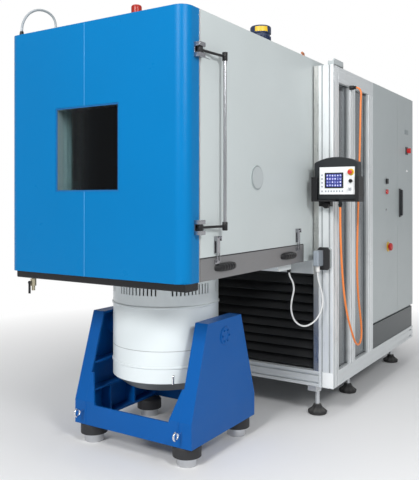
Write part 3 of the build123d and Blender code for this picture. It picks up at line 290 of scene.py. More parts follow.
lacquer = {"Coat Weight": 0.12, "Coat Roughness": 0.25}
dull = {"Specular IOR Level": 0.3}
hingeLeaf = zone((0.5, 0.5, 0.5), x=(-700, -593.2), roughness=0.35, metallic=1.0)
finishes = {
    "bodyPaint": coat((0.47, 0.51, 0.515), 0.42, patch=0.025, wear=0.1, shader=lacquer),
    "casingPaint": coat((0.55, 0.60, 0.60), 0.4, patch=0.03, wear=0.1, shader=lacquer, zones=[
        zone((0.75, 0.76, 0.78), z=(-10, 1015.5), roughness=0.12, metallic=1.0), hingeLeaf]),
    # the door's edges lighten to a light blue: a painted highlight along them, with a little wear
    "doorPaint": coat((0.0002, 0.165, 0.42), 0.3, patch=0.03, smear=0.05, wear=0.1, round=0.003,
                      worn=(0.15, 0.4, 0.68), dust=0.0, shader={"Specular IOR Level": 0.13}, zones=[
        hingeLeaf, zone((0.03, 0.03, 0.03), z=(2316.2, far), roughness=0.5)]),
    "seamLine": coat((0.07, 0.33, 0.68), 0.35, patch=0.05, wear=0.0),
    "standPaint": coat((0.001, 0.095, 0.36), 0.36, patch=0.06, smear=0.08, wear=0.3, dust=0.02,
                       worn=(0.08, 0.24, 0.5), round=0.002, shader={"Specular IOR Level": 0.18}),
    "stainless": coat((0.58, 0.58, 0.56), 0.32, metallic=1.0, stretch=upright, wear=0.1),
    "windowSteel": coat((0.58, 0.58, 0.56), 0.28, metallic=1.0, stretch=upright, wear=0.1, zones=[
        zone((0.001, 0.12, 0.34), y=(-1, 7), roughness=0.35, metallic=0.0),
        # painted light: the left reveal of the window gets a flat grey-green, hardly metallic, in place of its
        # lit steel
        zone((0.17, 0.24, 0.25), x=(-300, -195), y=(7, 119), z=(1400, 1950), roughness=0.4, metallic=0.2)]),
    "baySheet": coat((0.18, 0.195, 0.205), 0.17, metallic=0.7, stretch=upright, contrast=0.08, wear=0.05,
                     relief=0.05),
    "latchMetal": coat((0.36, 0.36, 0.38), 0.24, metallic=1.0, patch=0.08, relief=0.1, wear=0.2),
    "socketShell": coat((0.36, 0.40, 0.41), 0.42, patch=0.05, wear=0.15, zones=[
        zone((0.012, 0.012, 0.013), y=(1400, 1424), roughness=0.5),
        zone((0.015, 0.015, 0.016), y=(1700, 1800), roughness=0.45)]),
    "traySteel": coat((0.27, 0.27, 0.275), 0.48, metallic=0.75, stretch=(0.6, 0.05, 0.6), contrast=0.3,
                      wear=0.3, zones=[
        zone((0.66, 0.70, 0.71), x=(438, 562), y=(998, 1202), z=(0, 1015.8), roughness=0.4, metallic=0.0),
        zone((0.55, 0.5, 0.36), x=(-600, -540), y=(120, 190), z=(0, 1015.8), roughness=0.35, metallic=1.0)]),
    "profileMetal": coat((0.76, 0.79, 0.80), 0.34, metallic=0.3, stretch=(1.0, 1.0, 0.012), contrast=0.1,
                         wear=0.1),
    "beamMetal": coat((0.68, 0.71, 0.72), 0.36, metallic=0.3, stretch=(0.02, 0.02, 1.0), contrast=0.1,
                      wear=0.1),
    "whiteCap": coat((0.84, 0.86, 0.86), 0.4, patch=0.03, wear=0.05),
    "slotRubber": coat((0.34, 0.36, 0.37), 0.55, patch=0.1, wear=0.0, dust=0.2),
    "zincPlate": coat((0.62, 0.64, 0.66), 0.34, metallic=0.9, stretch=(0.7, 0.7, 0.1), contrast=0.2,
                      wear=0.15),
    "brightMetal": coat((0.78, 0.79, 0.81), 0.14, metallic=1.0, patch=0.02, smear=0.05, grain=0.001,
                        relief=0.08, wear=0.0, round=0.001),
    "copper": coat((0.56, 0.23, 0.12), 0.34, metallic=1.0, patch=0.2, smear=0.1, relief=0.1, wear=0.1),
    "blackPlastic": coat((0.007, 0.007, 0.008), 0.4, dust=0.02, shader=dull, patch=0.1, grain=0.0012,
                         relief=0.5, wear=0.12, worn=(0.05, 0.05, 0.05)),
    "darkPaint": coat((0.009, 0.010, 0.012), 0.55, patch=0.12, smear=0.08, wear=0.3,
                      worn=(0.06, 0.065, 0.07), dust=0.05, zones=[
        zone((0.052, 0.064, 0.068), x=(630, 735), y=(2230, 3310), z=(290, 480), roughness=0.4)]),
    "footRubber": coat((0.02, 0.02, 0.021), 0.72, patch=0.15, wear=0.2, worn=(0.11, 0.11, 0.11), dust=0.25),
    "sealRubber": coat((0.028, 0.028, 0.03), 0.62, patch=0.1, wear=0.0, dust=0.1),
    "ringRubber": coat((0.27, 0.31, 0.32), 0.4, patch=0.05, wear=0.0),
    "shakerPaint": coat((0.74, 0.80, 0.815), 0.34, patch=0.03, wear=0.12, round=0.003,
                        shader={"Coat Weight": 0.2, "Coat Roughness": 0.2}, zones=[
        # painted shade: all of the shell within the ring of the vent slots, inside and underneath, is near black
        {"centre": (0, 661, 0), "radius": 0.305, "colour": (0.012, 0.012, 0.013), "roughness": 0.7},
        zone((0.34, 0.36, 0.37), z=(574, 577.5)), zone((0.13, 0.145, 0.15), z=(300, 399))]),
    "isolator": coat((0.02, 0.02, 0.022), 0.6, patch=0.1, wear=0.15, worn=(0.1, 0.1, 0.1), zones=[
        zone((0.62, 0.63, 0.65), z=(-10, 50), roughness=0.3, metallic=1.0)]),
    "motorPaint": coat((0.012, 0.025, 0.075), 0.42, patch=0.12, grain=0.003, relief=0.5, wear=0.3,
                       worn=(0.1, 0.13, 0.2)),
    "lampShell": coat((0.36, 0.018, 0.008), 0.3, patch=0.05, relief=0.05, wear=0.0, shader=dull, zones=[
        zone((0.5, 0.52, 0.53), z=(2300, 2341), roughness=0.4)]),
    "castIron": coat((0.13, 0.13, 0.135), 0.5, metallic=0.8, patch=0.1, grain=0.004, wear=0.3),
    "lightAlloy": coat((0.5, 0.5, 0.48), 0.36, metallic=1.0, stretch=(0.6, 0.03, 0.6), wear=0.15),
    "pendantShell": coat((0.012, 0.015, 0.017), 0.42, patch=0.08, grain=0.0012, relief=0.5, wear=0.15,
                         worn=(0.05, 0.05, 0.055), round=0.002, dust=0.02, shader=dull),
    "pendantFront": coat((0.78, 0.79, 0.79), 0.38, patch=0.02, grain=0.001, wear=0.05, zones=[
        zone((0.02, 0.02, 0.025), y=(0, 1336.9), roughness=0.25)]),
    "redPlastic": coat((0.55, 0.012, 0.012), 0.28, patch=0.04, relief=0.1, wear=0.1,
                       shader={"Coat Weight": 0.4, "Coat Roughness": 0.12}),
    "yellowPlate": coat((0.78, 0.5, 0.015), 0.38, patch=0.05, wear=0.1, worn=(0.4, 0.36, 0.2)),
    "coverPaint": coat((0.44, 0.485, 0.49), 0.42, patch=0.025, wear=0.1, shader=lacquer, zones=[
        zone((0.75, 0.48, 0.01), x=(735.2, far), roughness=0.4)]),
    "rearCoverPaint": coat((0.44, 0.485, 0.49), 0.42, patch=0.025, wear=0.1, shader=lacquer, zones=[
        zone((0.03, 0.032, 0.036), x=(735.2, far), roughness=0.4)]),
    "stopHead": coat((0.5, 0.012, 0.012), 0.35, patch=0.03, relief=0.1, wear=0.05),
    "machinery": coat((0.03, 0.032, 0.035), 0.45, patch=0.1, grain=0.003, relief=0.4, wear=0.3, zones=[
        zone((0.42, 0.43, 0.44), y=(2950, 3070), roughness=0.45, metallic=0.9)]),
    "switchgear": coat((0.5, 0.5, 0.48), 0.4, patch=0.03, wear=0.1, zones=[
        zone((0.68, 0.69, 0.7), x=(0, 369), roughness=0.35, metallic=0.9),
        zone((0.12, 0.125, 0.13), x=(420, 470), roughness=0.4)]),
    "plugShell": coat((0.28, 0.32, 0.36), 0.4, patch=0.05, wear=0.2, zones=[
        zone((0.75, 0.75, 0.73), z=(900, 989), roughness=0.4)]),
    "coilMetal": coat((0.42, 0.42, 0.42), 0.4, metallic=1.0, stretch=(0.05, 0.6, 0.6), wear=0.1),
}
wearers = {
    "casingPaint": "chamber_casing", "stainless": "chamber_liner guide_rails",
    "coilMetal": "cooling_coil_and_heater", "traySteel": "floor_tray",
    "sealRubber": "tray_seals door_gasket door_conduit pendant_cable tray_lead",
    "blackPlastic": "tray_grips drain_lever door_bottom_rail start_button pendant_selector "
                    "pendant_holder holder_knob",
    "latchMetal": "toggle_brackets toggle_left_front toggle_left_rear toggle_right_front "
                  "toggle_right_rear door_handle handle_pivot_blocks",
    "motorPaint": "fan_motor", "zincPlate": "fan_wheel foot_runners pendant_key", "lampShell": "roof_lamp",
    "bodyPaint": "port_plug cabinet_carcass", "doorPaint": "door_shell", "windowSteel": "door_inner_panel",
    "paneGlass": "window_panes", "profileMetal": "frame_columns", "beamMetal": "frame_beams",
    "darkPaint": "lift_cylinders louvres_and_plinth", "baySheet": "machine_panels",
    "footRubber": "foot_pads", "machinery": "refrigeration_set", "coverPaint": "cabinet_door_front",
    "rearCoverPaint": "cabinet_door_rear", "pendantShell": "cabinet_handle pendant_housing",
    "switchgear": "mounting_plate", "redPlastic": "main_switch_knob stop_button pendant_stop",
    "stopHead": "emergency_stop", "pendantFront": "pendant_panel", "socketShell": "cord_sockets",
    "plugShell": "lead_plug", "shakerPaint": "shaker_body", "castIron": "field_magnet",
    "lightAlloy": "armature", "standPaint": "stand_cheeks stand_cross_plates", "isolator": "stand_feet",
    "brightMetal": "eye_bolts",
}
wearing = {nodeName: finish for finish, nodeNames in wearers.items() for nodeName in nodeNames.split()}
# panes: their tint, and the near white of a painted reflection with the noise and limits of its upright streaks
pane = {"colour": (0.14, 0.2, 0.26), "edge": (0.1, 0.15, 0.2), "bright": (0.93, 0.97, 0.97),
        "clear": (-0.26, -0.06), "polish": (0.01, 0.036), "cloud": (7.0, 5.0, 0.6), "paintedStreak": (26.0, 3.0, 0.7),
        "waver": 0.10, "bend": 1.2, "light": (0.8, 0.85, 0.85)}


def makeGlass(name, look):
    # tinted panes with a painted reflection: near white on the left in upright streaks, where the lit reveal is
    # seen through them, and dark tint on the right
    material, tree, shader, vector = newMaterial(name)
    cloud = noise(tree, vector, *look["cloud"])
    across = addNode(tree, "SeparateXYZ", {0: vector}).outputs[0]
    drawn = vectorCalc(tree, "MULTIPLY", vector, (1, 1, 0.03))
    # painted reflection: upright streaks across the panes, turning near white towards the left
    paintedStreak = calc(tree, "MULTIPLY_ADD", noise(tree, drawn, *look["paintedStreak"]), look["waver"], across)
    clear = spread(tree, paintedStreak, 1.0, 0.0, *look["clear"])
    tinted = mixColour(tree, cloud, solid(look["colour"]), solid(look["edge"]))
    setShader(tree, shader, {"Base Color": mixColour(tree, clear, tinted, solid(look["bright"])),
                             "Roughness": spread(tree, cloud, *look["polish"]),
                             "Transmission Weight": 1.0, "IOR": look["bend"]})
    passing = addNode(tree, "BsdfTransparent", {0: solid(look["light"])})
    shadow = addNode(tree, "LightPath").outputs["Is Shadow Ray"]
    mixed = mixShader(tree, shadow, shader, passing)
    feed(tree, tree.nodes["Material Output"].inputs["Surface"], mixed.outputs[0])
    return material


materials = {name: makeFinish(name, look) for name, look in finishes.items()}
materials["paneGlass"] = makeGlass("paneGlass", pane)
for nodeName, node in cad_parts.items():
    node.data.materials.clear()
    node.data.materials.append(materials[wearing[nodeName]])
print("stage: finishes on the solids")


def gridFaces(rows, columns, wrapRows=False, wrapColumns=False):
    # quads over a grid of points, each turned so that it faces outwards
    r = np.arange(rows if wrapRows else rows - 1)
    c = np.arange(columns if wrapColumns else columns - 1)
    r, c = (part.ravel() for part in np.meshgrid(r, c, indexing="ij"))
    nextR, nextC = (r + 1) % rows, (c + 1) % columns
    return np.stack([r * columns + c, r * columns + nextC, nextR * columns + nextC, nextR * columns + c], 1)


def closedFaces(rows, around):
    # the skin of a row of rings, with both ends closed
    faces = gridFaces(rows, around, wrapColumns=True).tolist()
    return faces + [list(range(around))[::-1], list(range((rows - 1) * around, rows * around))]


def fullTurn(steps):
    return np.linspace(0, 2 * math.pi, steps, endpoint=False)


def addMesh(name, points, faces, finish, smooth=40, uv=None):
    mesh = bpy.data.meshes.new(name)
    mesh.from_pydata(np.asarray(points).reshape(-1, 3).tolist(), [], [list(map(int, f)) for f in faces])
    mesh.validate()
    mesh.materials.append(materials[finish])
    mesh.shade_smooth()
    mesh.set_sharp_from_angle(angle=math.radians(smooth))
    if uv is not None:
        layer = mesh.uv_layers.new(name="UVMap")
        corners = np.zeros(len(mesh.loops), int)
        mesh.loops.foreach_get("vertex_index", corners)
        layer.data.foreach_set("uv", np.asarray(uv).reshape(-1, 2)[corners].ravel())
    piece = bpy.data.objects.new(name, mesh)
    scene.collection.objects.link(piece)
    return piece


def carry(path):
    # two side directions along a path, carried so that they don't twist about it
    path = np.asarray(path, float)
    along = np.gradient(path, axis=0)
    along /= np.linalg.norm(along, axis=1, keepdims=True)
    side = np.empty_like(path)
    first = np.cross(along[0], (0.2, 0.1, 1.0) if abs(along[0, 2]) < 0.9 else (1.0, 0.2, 0.1))
    side[0] = first / np.linalg.norm(first)
    for step in range(1, len(path)):
        kept = side[step - 1] - along[step] * (side[step - 1] @ along[step])
        side[step] = kept / np.linalg.norm(kept)
    return side, np.cross(along, side)


def tube(path, radius, around=16):
    # a round section of that radius carried along a path, with both ends closed: points, faces, uv
    path = np.asarray(path, float)
    side, up = carry(path)
    turn = fullTurn(around)
    radius = np.broadcast_to(np.asarray(radius, float), (len(path),))
    circle = np.cos(turn)[None, :, None] * side[:, None] + np.sin(turn)[None, :, None] * up[:, None]
    points = path[:, None] + radius[:, None, None] * circle
    run = np.concatenate([[0], np.cumsum(np.linalg.norm(np.diff(path, axis=0), axis=1))])
    uv = np.stack(np.broadcast_arrays(run[:, None], turn[None] * radius.mean()), -1)
    return points.reshape(-1, 3), closedFaces(len(path), around), uv


def lathe(profile, around=24, shape=None):
    # a profile of (radius, height) turned about the upright axis; shape scales the radius round the turn
    profile = np.asarray(profile, float)
    turn = fullTurn(around)
    radius = profile[:, :1] * np.ones(around)
    if shape is not None:
        radius = radius * shape(turn, profile)
    points = np.stack([radius * np.cos(turn), radius * np.sin(turn), profile[:, 1:] * np.ones(around)], -1)
    return points.reshape(-1, 3), closedFaces(len(profile), around)


def axes(direction):
    # a frame whose third axis is that direction
    third = np.asarray(direction, float) / np.linalg.norm(direction)
    first = np.cross((0, 0, 1) if abs(third[2]) < 0.9 else (1, 0, 0), third)
    first /= np.linalg.norm(first)
    return np.stack([first, np.cross(third, first), third])


def join(shapes):
    # several shapes as one
    points, faces, start = [], [], 0
    for shape in shapes:
        points.append(shape[0])
        faces += [[v + start for v in face] for face in shape[1]]
        start += len(shape[0])
    return np.concatenate(points), faces


def repeat(shape, places):
    # copies of one shape at (place, direction, scale)
    points, faces = shape
    return join([(points * scale @ axes(direction) + place, faces) for place, direction, scale in places])


def socketScrew():
    # a cap screw of unit head radius: rounded rim and a six-sided socket
    def shape(turn, profile):
        hexagon = 1 / np.cos((turn + math.pi / 6) % (math.pi / 3) - math.pi / 6)
        return np.where(profile[:, :1] < 0.6, hexagon[None], 1.0)
    profile = [(1.0, 0.0), (1.0, 0.72), (0.93, 0.85), (0.8, 0.9), (0.5, 0.9), (0.48, 0.4), (0.05, 0.38)]
    return lathe(profile, 24, shape)


cords = {
    "pendantLead": {
        "radius": 0.0065, "finish": "orangeJacket", "length": 2.829, "node": "pendant_cable",
        "route": [(760, 1757, 2162), (778, 1757, 2162), (794, 1756, 2155), (807, 1754, 2142), (813, 1752, 2126),
                  (814, 1747, 2090), (813, 1741, 2020), (813, 1737, 1920), (812, 1733, 1790), (811, 1722, 1610),
                  (811, 1706, 1420), (812, 1688, 1240), (812, 1676, 1070), (811, 1680, 910), (811, 1702, 760),
                  (812, 1736, 650), (813, 1757, 565), (813, 1762, 506), (813, 1745, 462), (813, 1706, 444),
                  (812, 1662, 458), (811, 1625, 492), (811, 1580, 553), (810, 1520, 640), (810, 1462, 760),
                  (811, 1424, 890), (812, 1396, 1030), (813, 1378, 1165), (814, 1369, 1280), (814, 1369, 1381)],
        "bodies": ("root", "pendant"), "turnFrom": (812, 1660, 760), "turnTo": (812, 1428, 760),
        "end": "object", "stiffness": "limp", "lay": "hanging"},
    "trayLead": {
        "radius": 0.00525, "finish": "whiteJacket", "length": 0.834, "node": "tray_lead",
        "route": [(550, 1190, 978), (550, 1190, 942), (566, 1214, 900), (571, 1222, 850), (562, 1208, 796),
                  (557, 1201, 738), (565, 1213, 676), (584, 1242, 634), (611, 1283, 614), (640, 1327, 626),
                  (664, 1364, 658), (681, 1389, 708), (688, 1401, 764), (682, 1392, 826), (670, 1375, 882),
                  (665, 1368, 924), (665, 1368, 953)],
        "bodies": ("chamber", "root"), "turnFrom": (560, 1208, 640), "turnTo": (672, 1378, 700),
        "end": "plug", "stiffness": "medium", "lay": "hanging", "with": ["lead_plug"]},
    "doorConduit": {
        "radius": 0.007, "finish": "greyJacket", "length": 0.502, "node": "door_conduit",
        "route": [(-565, 61, 2336), (-565, 61, 2382), (-566, 84, 2434), (-566, 124, 2478), (-565, 182, 2508),
                  (-563, 244, 2513), (-560, 296, 2494), (-557, 317, 2448), (-555, 305, 2394), (-555, 305, 2336)],
        "bodies": ("door", "chamber"), "turnFrom": (-565, 75, 2440), "turnTo": (-557, 300, 2440),
        "end": "object", "stiffness": "medium", "lay": "hanging"},
}
# the lay of the wires under a jacket: strands round it, turned by its twist, and their height
lay = {"strands": 900.0, "depth": 0.00012, "grain": 0.0012, "relief": 0.35}
jackets = {"orangeJacket": {"colour": (0.82, 0.22, 0.045), "roughness": 0.42, "twist": 160.0},
           "whiteJacket": {"colour": (0.74, 0.75, 0.74), "roughness": 0.4, "twist": 200.0},
           "greyJacket": {"colour": (0.36, 0.39, 0.41), "roughness": 0.35, "twist": 200.0}}


def routePoints(route):
    # the smooth line of a route, read back from its NURBS spline
    curve = bpy.data.curves.new("route", "CURVE")
    curve.dimensions = "3D"
    curve.resolution_u = 10
    spline = curve.splines.new("NURBS")
    spline.points.add(len(route) - 1)
    spline.points.foreach_set("co", np.column_stack([spot(*route), np.ones(len(route))]).ravel())
    spline.order_u = 3
    spline.use_endpoint_u = True
    holder = bpy.data.objects.new("route", curve)
    scene.collection.objects.link(holder)
    bpy.context.view_layer.update()
    mesh = bpy.data.meshes.new_from_object(holder)
    line = np.zeros(len(mesh.vertices) * 3)
    mesh.vertices.foreach_get("co", line)
    bpy.data.objects.remove(holder)
    bpy.data.curves.remove(curve)
    bpy.data.meshes.remove(mesh)
    return line.reshape(-1, 3)


def makeJacket(name, look):
    # a smooth moulded jacket with a faint lengthwise lay of the wires, read from the cord's own map
    material, tree, shader, uv = newMaterial(name, "UV")
    parts = addNode(tree, "SeparateXYZ", {0: uv}).outputs
    around = calc(tree, "MULTIPLY", parts[1], lay["strands"])
    twist = calc(tree, "ADD", calc(tree, "MULTIPLY", parts[0], look["twist"]), around)
    skin = useGroup(tree, "coat", uv, Colour=solid(look["colour"]), Patch=0.04, Roughness=look["roughness"],
                    Smear=0.08, Grain_Size=lay["grain"], Dust=0.0)
    ridges = calc(tree, "MULTIPLY", calc(tree, "SINE", twist), lay["depth"])
    bump = addNode(tree, "Bump", {"Height": calc(tree, "ADD", ridges, skin["Height"]),
                                  "Strength": lay["relief"], "Distance": 1.0})
    setShader(tree, shader, {"Base Color": skin["Colour"], "Roughness": skin["Roughness"],
                             "Normal": bump.outputs[0]})
    return material


materials.update({name: makeJacket(name, look) for name, look in jackets.items()})
for name, cord in cords.items():
    line = routePoints(cord["route"])
    points, faces, uv = tube(line, cord["radius"], 18)
    lead = addMesh(name, points, faces, cord["finish"], 60, uv)
    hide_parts(cord["node"])
    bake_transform(lead)
print("stage: cords")


def finishPiece(piece, body):
    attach(piece, body)
    return piece


def slab(low, high, soft=2.0, steps=4):
    # a plate between two corners, with rounded edges all round
    low, high = np.asarray(low, float), np.asarray(high, float)
    middle, half = (low + high) / 2, (high - low) / 2
    turn = fullTurn(8 * steps) + math.pi / (8 * steps)
    corner = np.stack([np.cos(turn), np.sin(turn)], 1)
    rim = np.sign(corner) * np.maximum(half[:2] - soft, 0.0)
    bend = np.linspace(0, math.pi / 2, steps)
    share = np.concatenate([[0.0], np.sin(bend), np.cos(bend), [0.0]])
    lower, upper = soft * (1 - np.cos(bend)) - half[2], half[2] - soft * (1 - np.sin(bend))
    points = np.empty((len(share), len(turn), 3))
    points[..., :2] = rim + corner * soft * share[:, None, None]
    points[..., 2] = np.concatenate([[-half[2]], lower, upper, [half[2]]])[:, None]
    return spot(*(points + middle).reshape(-1, 3)), closedFaces(len(share), len(turn))


def lathed(profile, place, direction, around=32):
    # a turned piece from (radius, height) in millimetres, standing at a place along a direction
    points, faces = lathe(np.asarray(profile, float) * machine["unit"], around)
    return points @ axes(direction) + spot(place), faces


def piped(path, radius, around=14, steps=8):
    # a rigid pipe through a few places, its corners rounded by a quadratic blend between middles
    path = np.asarray(path, float)
    middles = (path[1:] + path[:-1]) / 2
    t = np.linspace(0, 1, steps, endpoint=False)[:, None]
    runs = [path[:1]]
    for before, corner, after in zip(middles[:-1], path[1:-1], middles[1:]):
        runs.append((1 - t) ** 2 * before + 2 * t * (1 - t) * corner + t ** 2 * after)
    runs.append(path[-1:])
    return tube(spot(*np.concatenate(runs)), radius * machine["unit"], around)[:2]


# operator panel: its glowing screen, its keys and the collar of its stop
panelFace = {"front": 1337.0, "glass": 1333.9, "left": 729.0, "right": 844.0, "low": 1481.0, "high": 1571.0,
             "columnX": 707.5, "columnKeys": (1488, 1512, 1536, 1560), "rowZ": 1459.5,
             "rowKeys": (707.5, 732, 750, 768, 786, 804, 822, 840), "stop": (894, 1576)}
display = {"tiles": (6, 4), "gap": 0.012, "bar": (0.28, 0.16), "stem": (0.09, 0.3), "glow": 0.55,
           "dark": (0.03, 0.045, 0.22, 1), "light": (0.07, 0.075, 0.32, 1), "between": (0.008, 0.01, 0.03, 1),
           "symbol": (0.62, 0.62, 0.78, 1), "swell": 0.6, "grid": (13, 11)}


def makeScreenFinish(name, look):
    # a violet-blue display: rows of small light symbols on tiles, worked out from bricks and dots
    material, tree, shader, uv = newMaterial(name, "UV")
    columns, rows = look["tiles"]
    tiles = addNode(tree, "TexBrick", {
        "Vector": uv, "Scale": 1.0, "Brick Width": 1 / columns, "Row Height": 1 / rows,
        "Mortar Size": look["gap"], "Mortar Smooth": 0.1, "Color1": look["dark"], "Color2": look["light"],
        "Mortar": look["between"]}, offset=0.0, squash=1.0)
    parts = addNode(tree, "SeparateXYZ", {0: uv}).outputs

    def fold(value, count):
        share = calc(tree, "FRACT", calc(tree, "MULTIPLY", value, float(count)))
        return calc(tree, "ABSOLUTE", calc(tree, "SUBTRACT", share, 0.5))
    across, upward = fold(parts[0], columns), fold(parts[1], rows)

    def block(size):
        inside = [calc(tree, "LESS_THAN", away, limit) for away, limit in zip((across, upward), size)]
        return calc(tree, "MULTIPLY", *inside)
    sign = calc(tree, "MAXIMUM", block(look["bar"]), block(look["stem"]))
    speck = spread(tree, noise(tree, uv, 9.0), 0.0, 1.0, 0.42, 0.58)
    lit = calc(tree, "MULTIPLY", sign, calc(tree, "MULTIPLY_ADD", speck, 0.75, 0.08, clamp=True))
    colour = mixColour(tree, lit, tiles.outputs["Color"], look["symbol"])
    setShader(tree, shader, {"Base Color": colour, "Emission Color": colour, "Roughness": 0.22,
                             "Emission Strength": look["glow"]})
    return material


def makeScreen():
    # a grid that swells a little towards the middle: height times (1 - u squared)(1 - v squared)
    columns, rows = display["grid"]
    u, v = np.meshgrid(np.linspace(-1, 1, columns), np.linspace(-1, 1, rows), indexing="ij")
    face = panelFace
    x = (face["left"] + face["right"]) / 2 + u * (face["right"] - face["left"] - 14) / 2
    z = (face["low"] + face["high"]) / 2 + v * (face["high"] - face["low"] - 10) / 2
    y = face["glass"] - 0.5 - display["swell"] * (1 - u ** 2) * (1 - v ** 2)
    grid = spot(*np.stack([x, y, z], -1).reshape(-1, 3))
    uv = np.stack([(u + 1) / 2, (v + 1) / 2], -1)
    return addMesh("pendantScreen", grid, gridFaces(columns, rows)[:, ::-1], "screenGlow", 60, uv)


materials["screenGlow"] = makeScreenFinish("screenGlow", display)
finishPiece(makeScreen(), "pendant")
keyShape = lathe([(5.2, 0.0), (5.2, 0.8), (4.6, 1.3), (2.6, 1.55), (0.05, 1.6)], 20)
keys = [(panelFace["columnX"], z) for z in panelFace["columnKeys"]]
keys += [(x, panelFace["rowZ"]) for x in panelFace["rowKeys"]]
places = [(spot((x, panelFace["front"] - 0.1, z)), (0, -1, 0), machine["unit"]) for x, z in keys]
finishPiece(addMesh("pendantKeys", *repeat(keyShape, places), "plugShell"), "pendant")
x, z = panelFace["stop"]
collar = lathed([(14.5, 0), (21, 0), (21, 1.6), (19.5, 2.6), (16, 2.8), (14.5, 2.2)],
                (x, panelFace["front"], z), (0, -1, 0))
finishPiece(addMesh("stopCollar", *collar, "yellowPlate"), "pendant")

# door: the seam of its outer sheet, above and below the window
seam = {"x": -32.0, "wide": 1.6, "parts": ((1016.5, 1450.0), (1888.0, 2315.5))}
left, right = seam["x"] - seam["wide"], seam["x"] + seam["wide"]
strips = [slab((left, -0.35, bottom), (right, 0.4, top), 0.15, 3) for bottom, top in seam["parts"]]
finishPiece(addMesh("doorSeam", *join(strips), "seamLine"), "door")

# port: a ring round its plug
ring = lathed([(58.5, 4.2), (66, 4.2), (66.6, 5.4), (65, 6.6), (61, 6.6), (59, 5.6)], (593, 692, 1529),
              (1, 0, 0), 48)
finishPiece(addMesh("portRing", *ring, "ringRubber"), "chamber")

# tray grips: oval moulded cups on the sides
grips = {"places": (357.0, 1090.0), "half": 593.0, "z": 1071.0, "long": 102.0, "out": 30.0, "tall": 21.0,
         "grid": (41, 15), "ribs": 26}


def makeGrip(side, place):
    # bowed out in the middle and thinned towards the ends, with finger ribs over the crown
    u, v = np.meshgrid(np.linspace(-1, 1, grips["grid"][0]), np.linspace(0, math.pi, grips["grid"][1]),
                       indexing="ij")
    ends = np.sqrt(np.maximum(1 - np.abs(u) ** 3.2, 0.0))
    ribs = 1 + 0.05 * np.cos(grips["ribs"] * u) * ends
    out = grips["out"] * (1 - np.abs(u) ** 4) * np.sin(v) ** 0.7 * ribs
    points = np.stack([side * (grips["half"] + 0.2 + out), place + u * grips["long"],
                       grips["z"] - side * grips["tall"] * np.cos(v) * (0.25 + 0.75 * ends)], -1)
    return spot(*points.reshape(-1, 3)), gridFaces(*grips["grid"]).tolist()


gripShapes = [makeGrip(side, place) for side in (-1, 1) for place in grips["places"]]
grip = finishPiece(addMesh("trayGrips", *join(gripShapes), "blackPlastic"), "chamber")
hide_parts("tray_grips")

# door handle: a drawn bar between two slim arms, with a dark collar at each end and a hub round each pin
handle = {"bar": (633.0, 289.0), "pivot": (614.0, 96.0), "bend": (618.0, 152.0), "heights": (2114.0, 1278.0),
          "pin": 9.0, "barRadius": 0.008, "armRadius": 6.5, "around": 28,
          "collar": [(4, 0), (12, 0), (13.4, 2), (13.4, 40), (12, 42), (3, 42.6)],
          "hub": [(0.1, -15), (3.4, -15), (4, -14), (4, 14), (3.4, 15), (0.1, 15)]}


def makeHandle():
    top, bottom = handle["heights"]
    around, (x, y) = handle["around"], handle["pivot"]
    line = [(*handle["bar"], z) for z in np.linspace(bottom, top, 9)]
    bar = tube(spot(*line), handle["barRadius"], around)[:2]
    loop = np.array(handle["hub"]) + (handle["pin"], 0)
    turn = fullTurn(around)
    dark = []
    for z in handle["heights"]:
        ends = [(x, y + handle["pin"] + 2, z), (*handle["bend"], z), (*handle["bar"], z)]
        dark.append(piped(ends, handle["armRadius"], 18, 10))
        dark.append(lathed(handle["collar"], (*handle["bar"], z - 21), (0, 0, 1), around))
        hub = np.stack([x + loop[:, :1] * np.cos(turn), y + loop[:, :1] * np.sin(turn),
                        z + loop[:, 1:] * np.ones(around)], -1)
        faces = gridFaces(len(loop), around, wrapRows=True, wrapColumns=True)
        dark.append((spot(*hub.reshape(-1, 3)), faces.tolist()))
    return bar, join(dark)


handleShape, armShape = makeHandle()
handlePiece = finishPiece(addMesh("handleBar", *handleShape, "latchMetal"), "handle")
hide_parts("door_handle")
finishPiece(addMesh("handleArms", *armShape, "blackPlastic"), "handle")

# roof: blank plate of the fan motor, and the vent elbow with its nut
motor = {"x": 300.0, "y": 1290.0, "radius": 68.6, "low": 2490.0, "high": 2521.0, "facing": -58, "half": 0.62}
t, h = np.meshgrid(np.linspace(-motor["half"], motor["half"], 15), np.linspace(0, 1, 3), indexing="ij")
t = t + math.radians(motor["facing"])
plate = np.stack([motor["x"] + motor["radius"] * np.cos(t), motor["y"] + motor["radius"] * np.sin(t),
                  motor["low"] + h * (motor["high"] - motor["low"])], -1)
plate = spot(*plate.reshape(-1, 3)), gridFaces(15, 3)
finishPiece(addMesh("motorPlate", *plate, "yellowPlate"), "chamber")
elbow = piped([(560, 1385, 2316), (560, 1385, 2344), (560, 1362, 2346)], 8)
nutRing = lathed([(13, 0), (13, 9), (9, 11)], (560, 1385, 2316), (0, 0, 1), 6)
finishPiece(addMesh("ventElbow", *join([elbow, nutRing]), "copper"), "chamber")

# lifting bracket on the frame's top, and end caps of its profiles
bracketPlates = [((690, 1470, 2270), (735, 1630, 2276)), ((728, 1470, 2270), (735, 1630, 2312)),
                 ((690, 1472, 2270), (735, 1479, 2300)), ((690, 1621, 2270), (735, 1628, 2300))]
bracket = join([slab(low, high, 1.2) for low, high in bracketPlates])
finishPiece(addMesh("liftBracket", *bracket, "bodyPaint"), "root")
caps = [slab((x - 48, y - 48, 2270), (x + 48, y + 48, 2274), 1.5) for x, y in ((-685, 1501), (-685, 3255))]
caps += [slab((x - 22, 1448.6, 203), (x + 49.5, 1451.4, 300), 0.8) for x in (-685, 685)]
finishPiece(addMesh("profileCaps", *join(caps), "whiteCap"), "root")

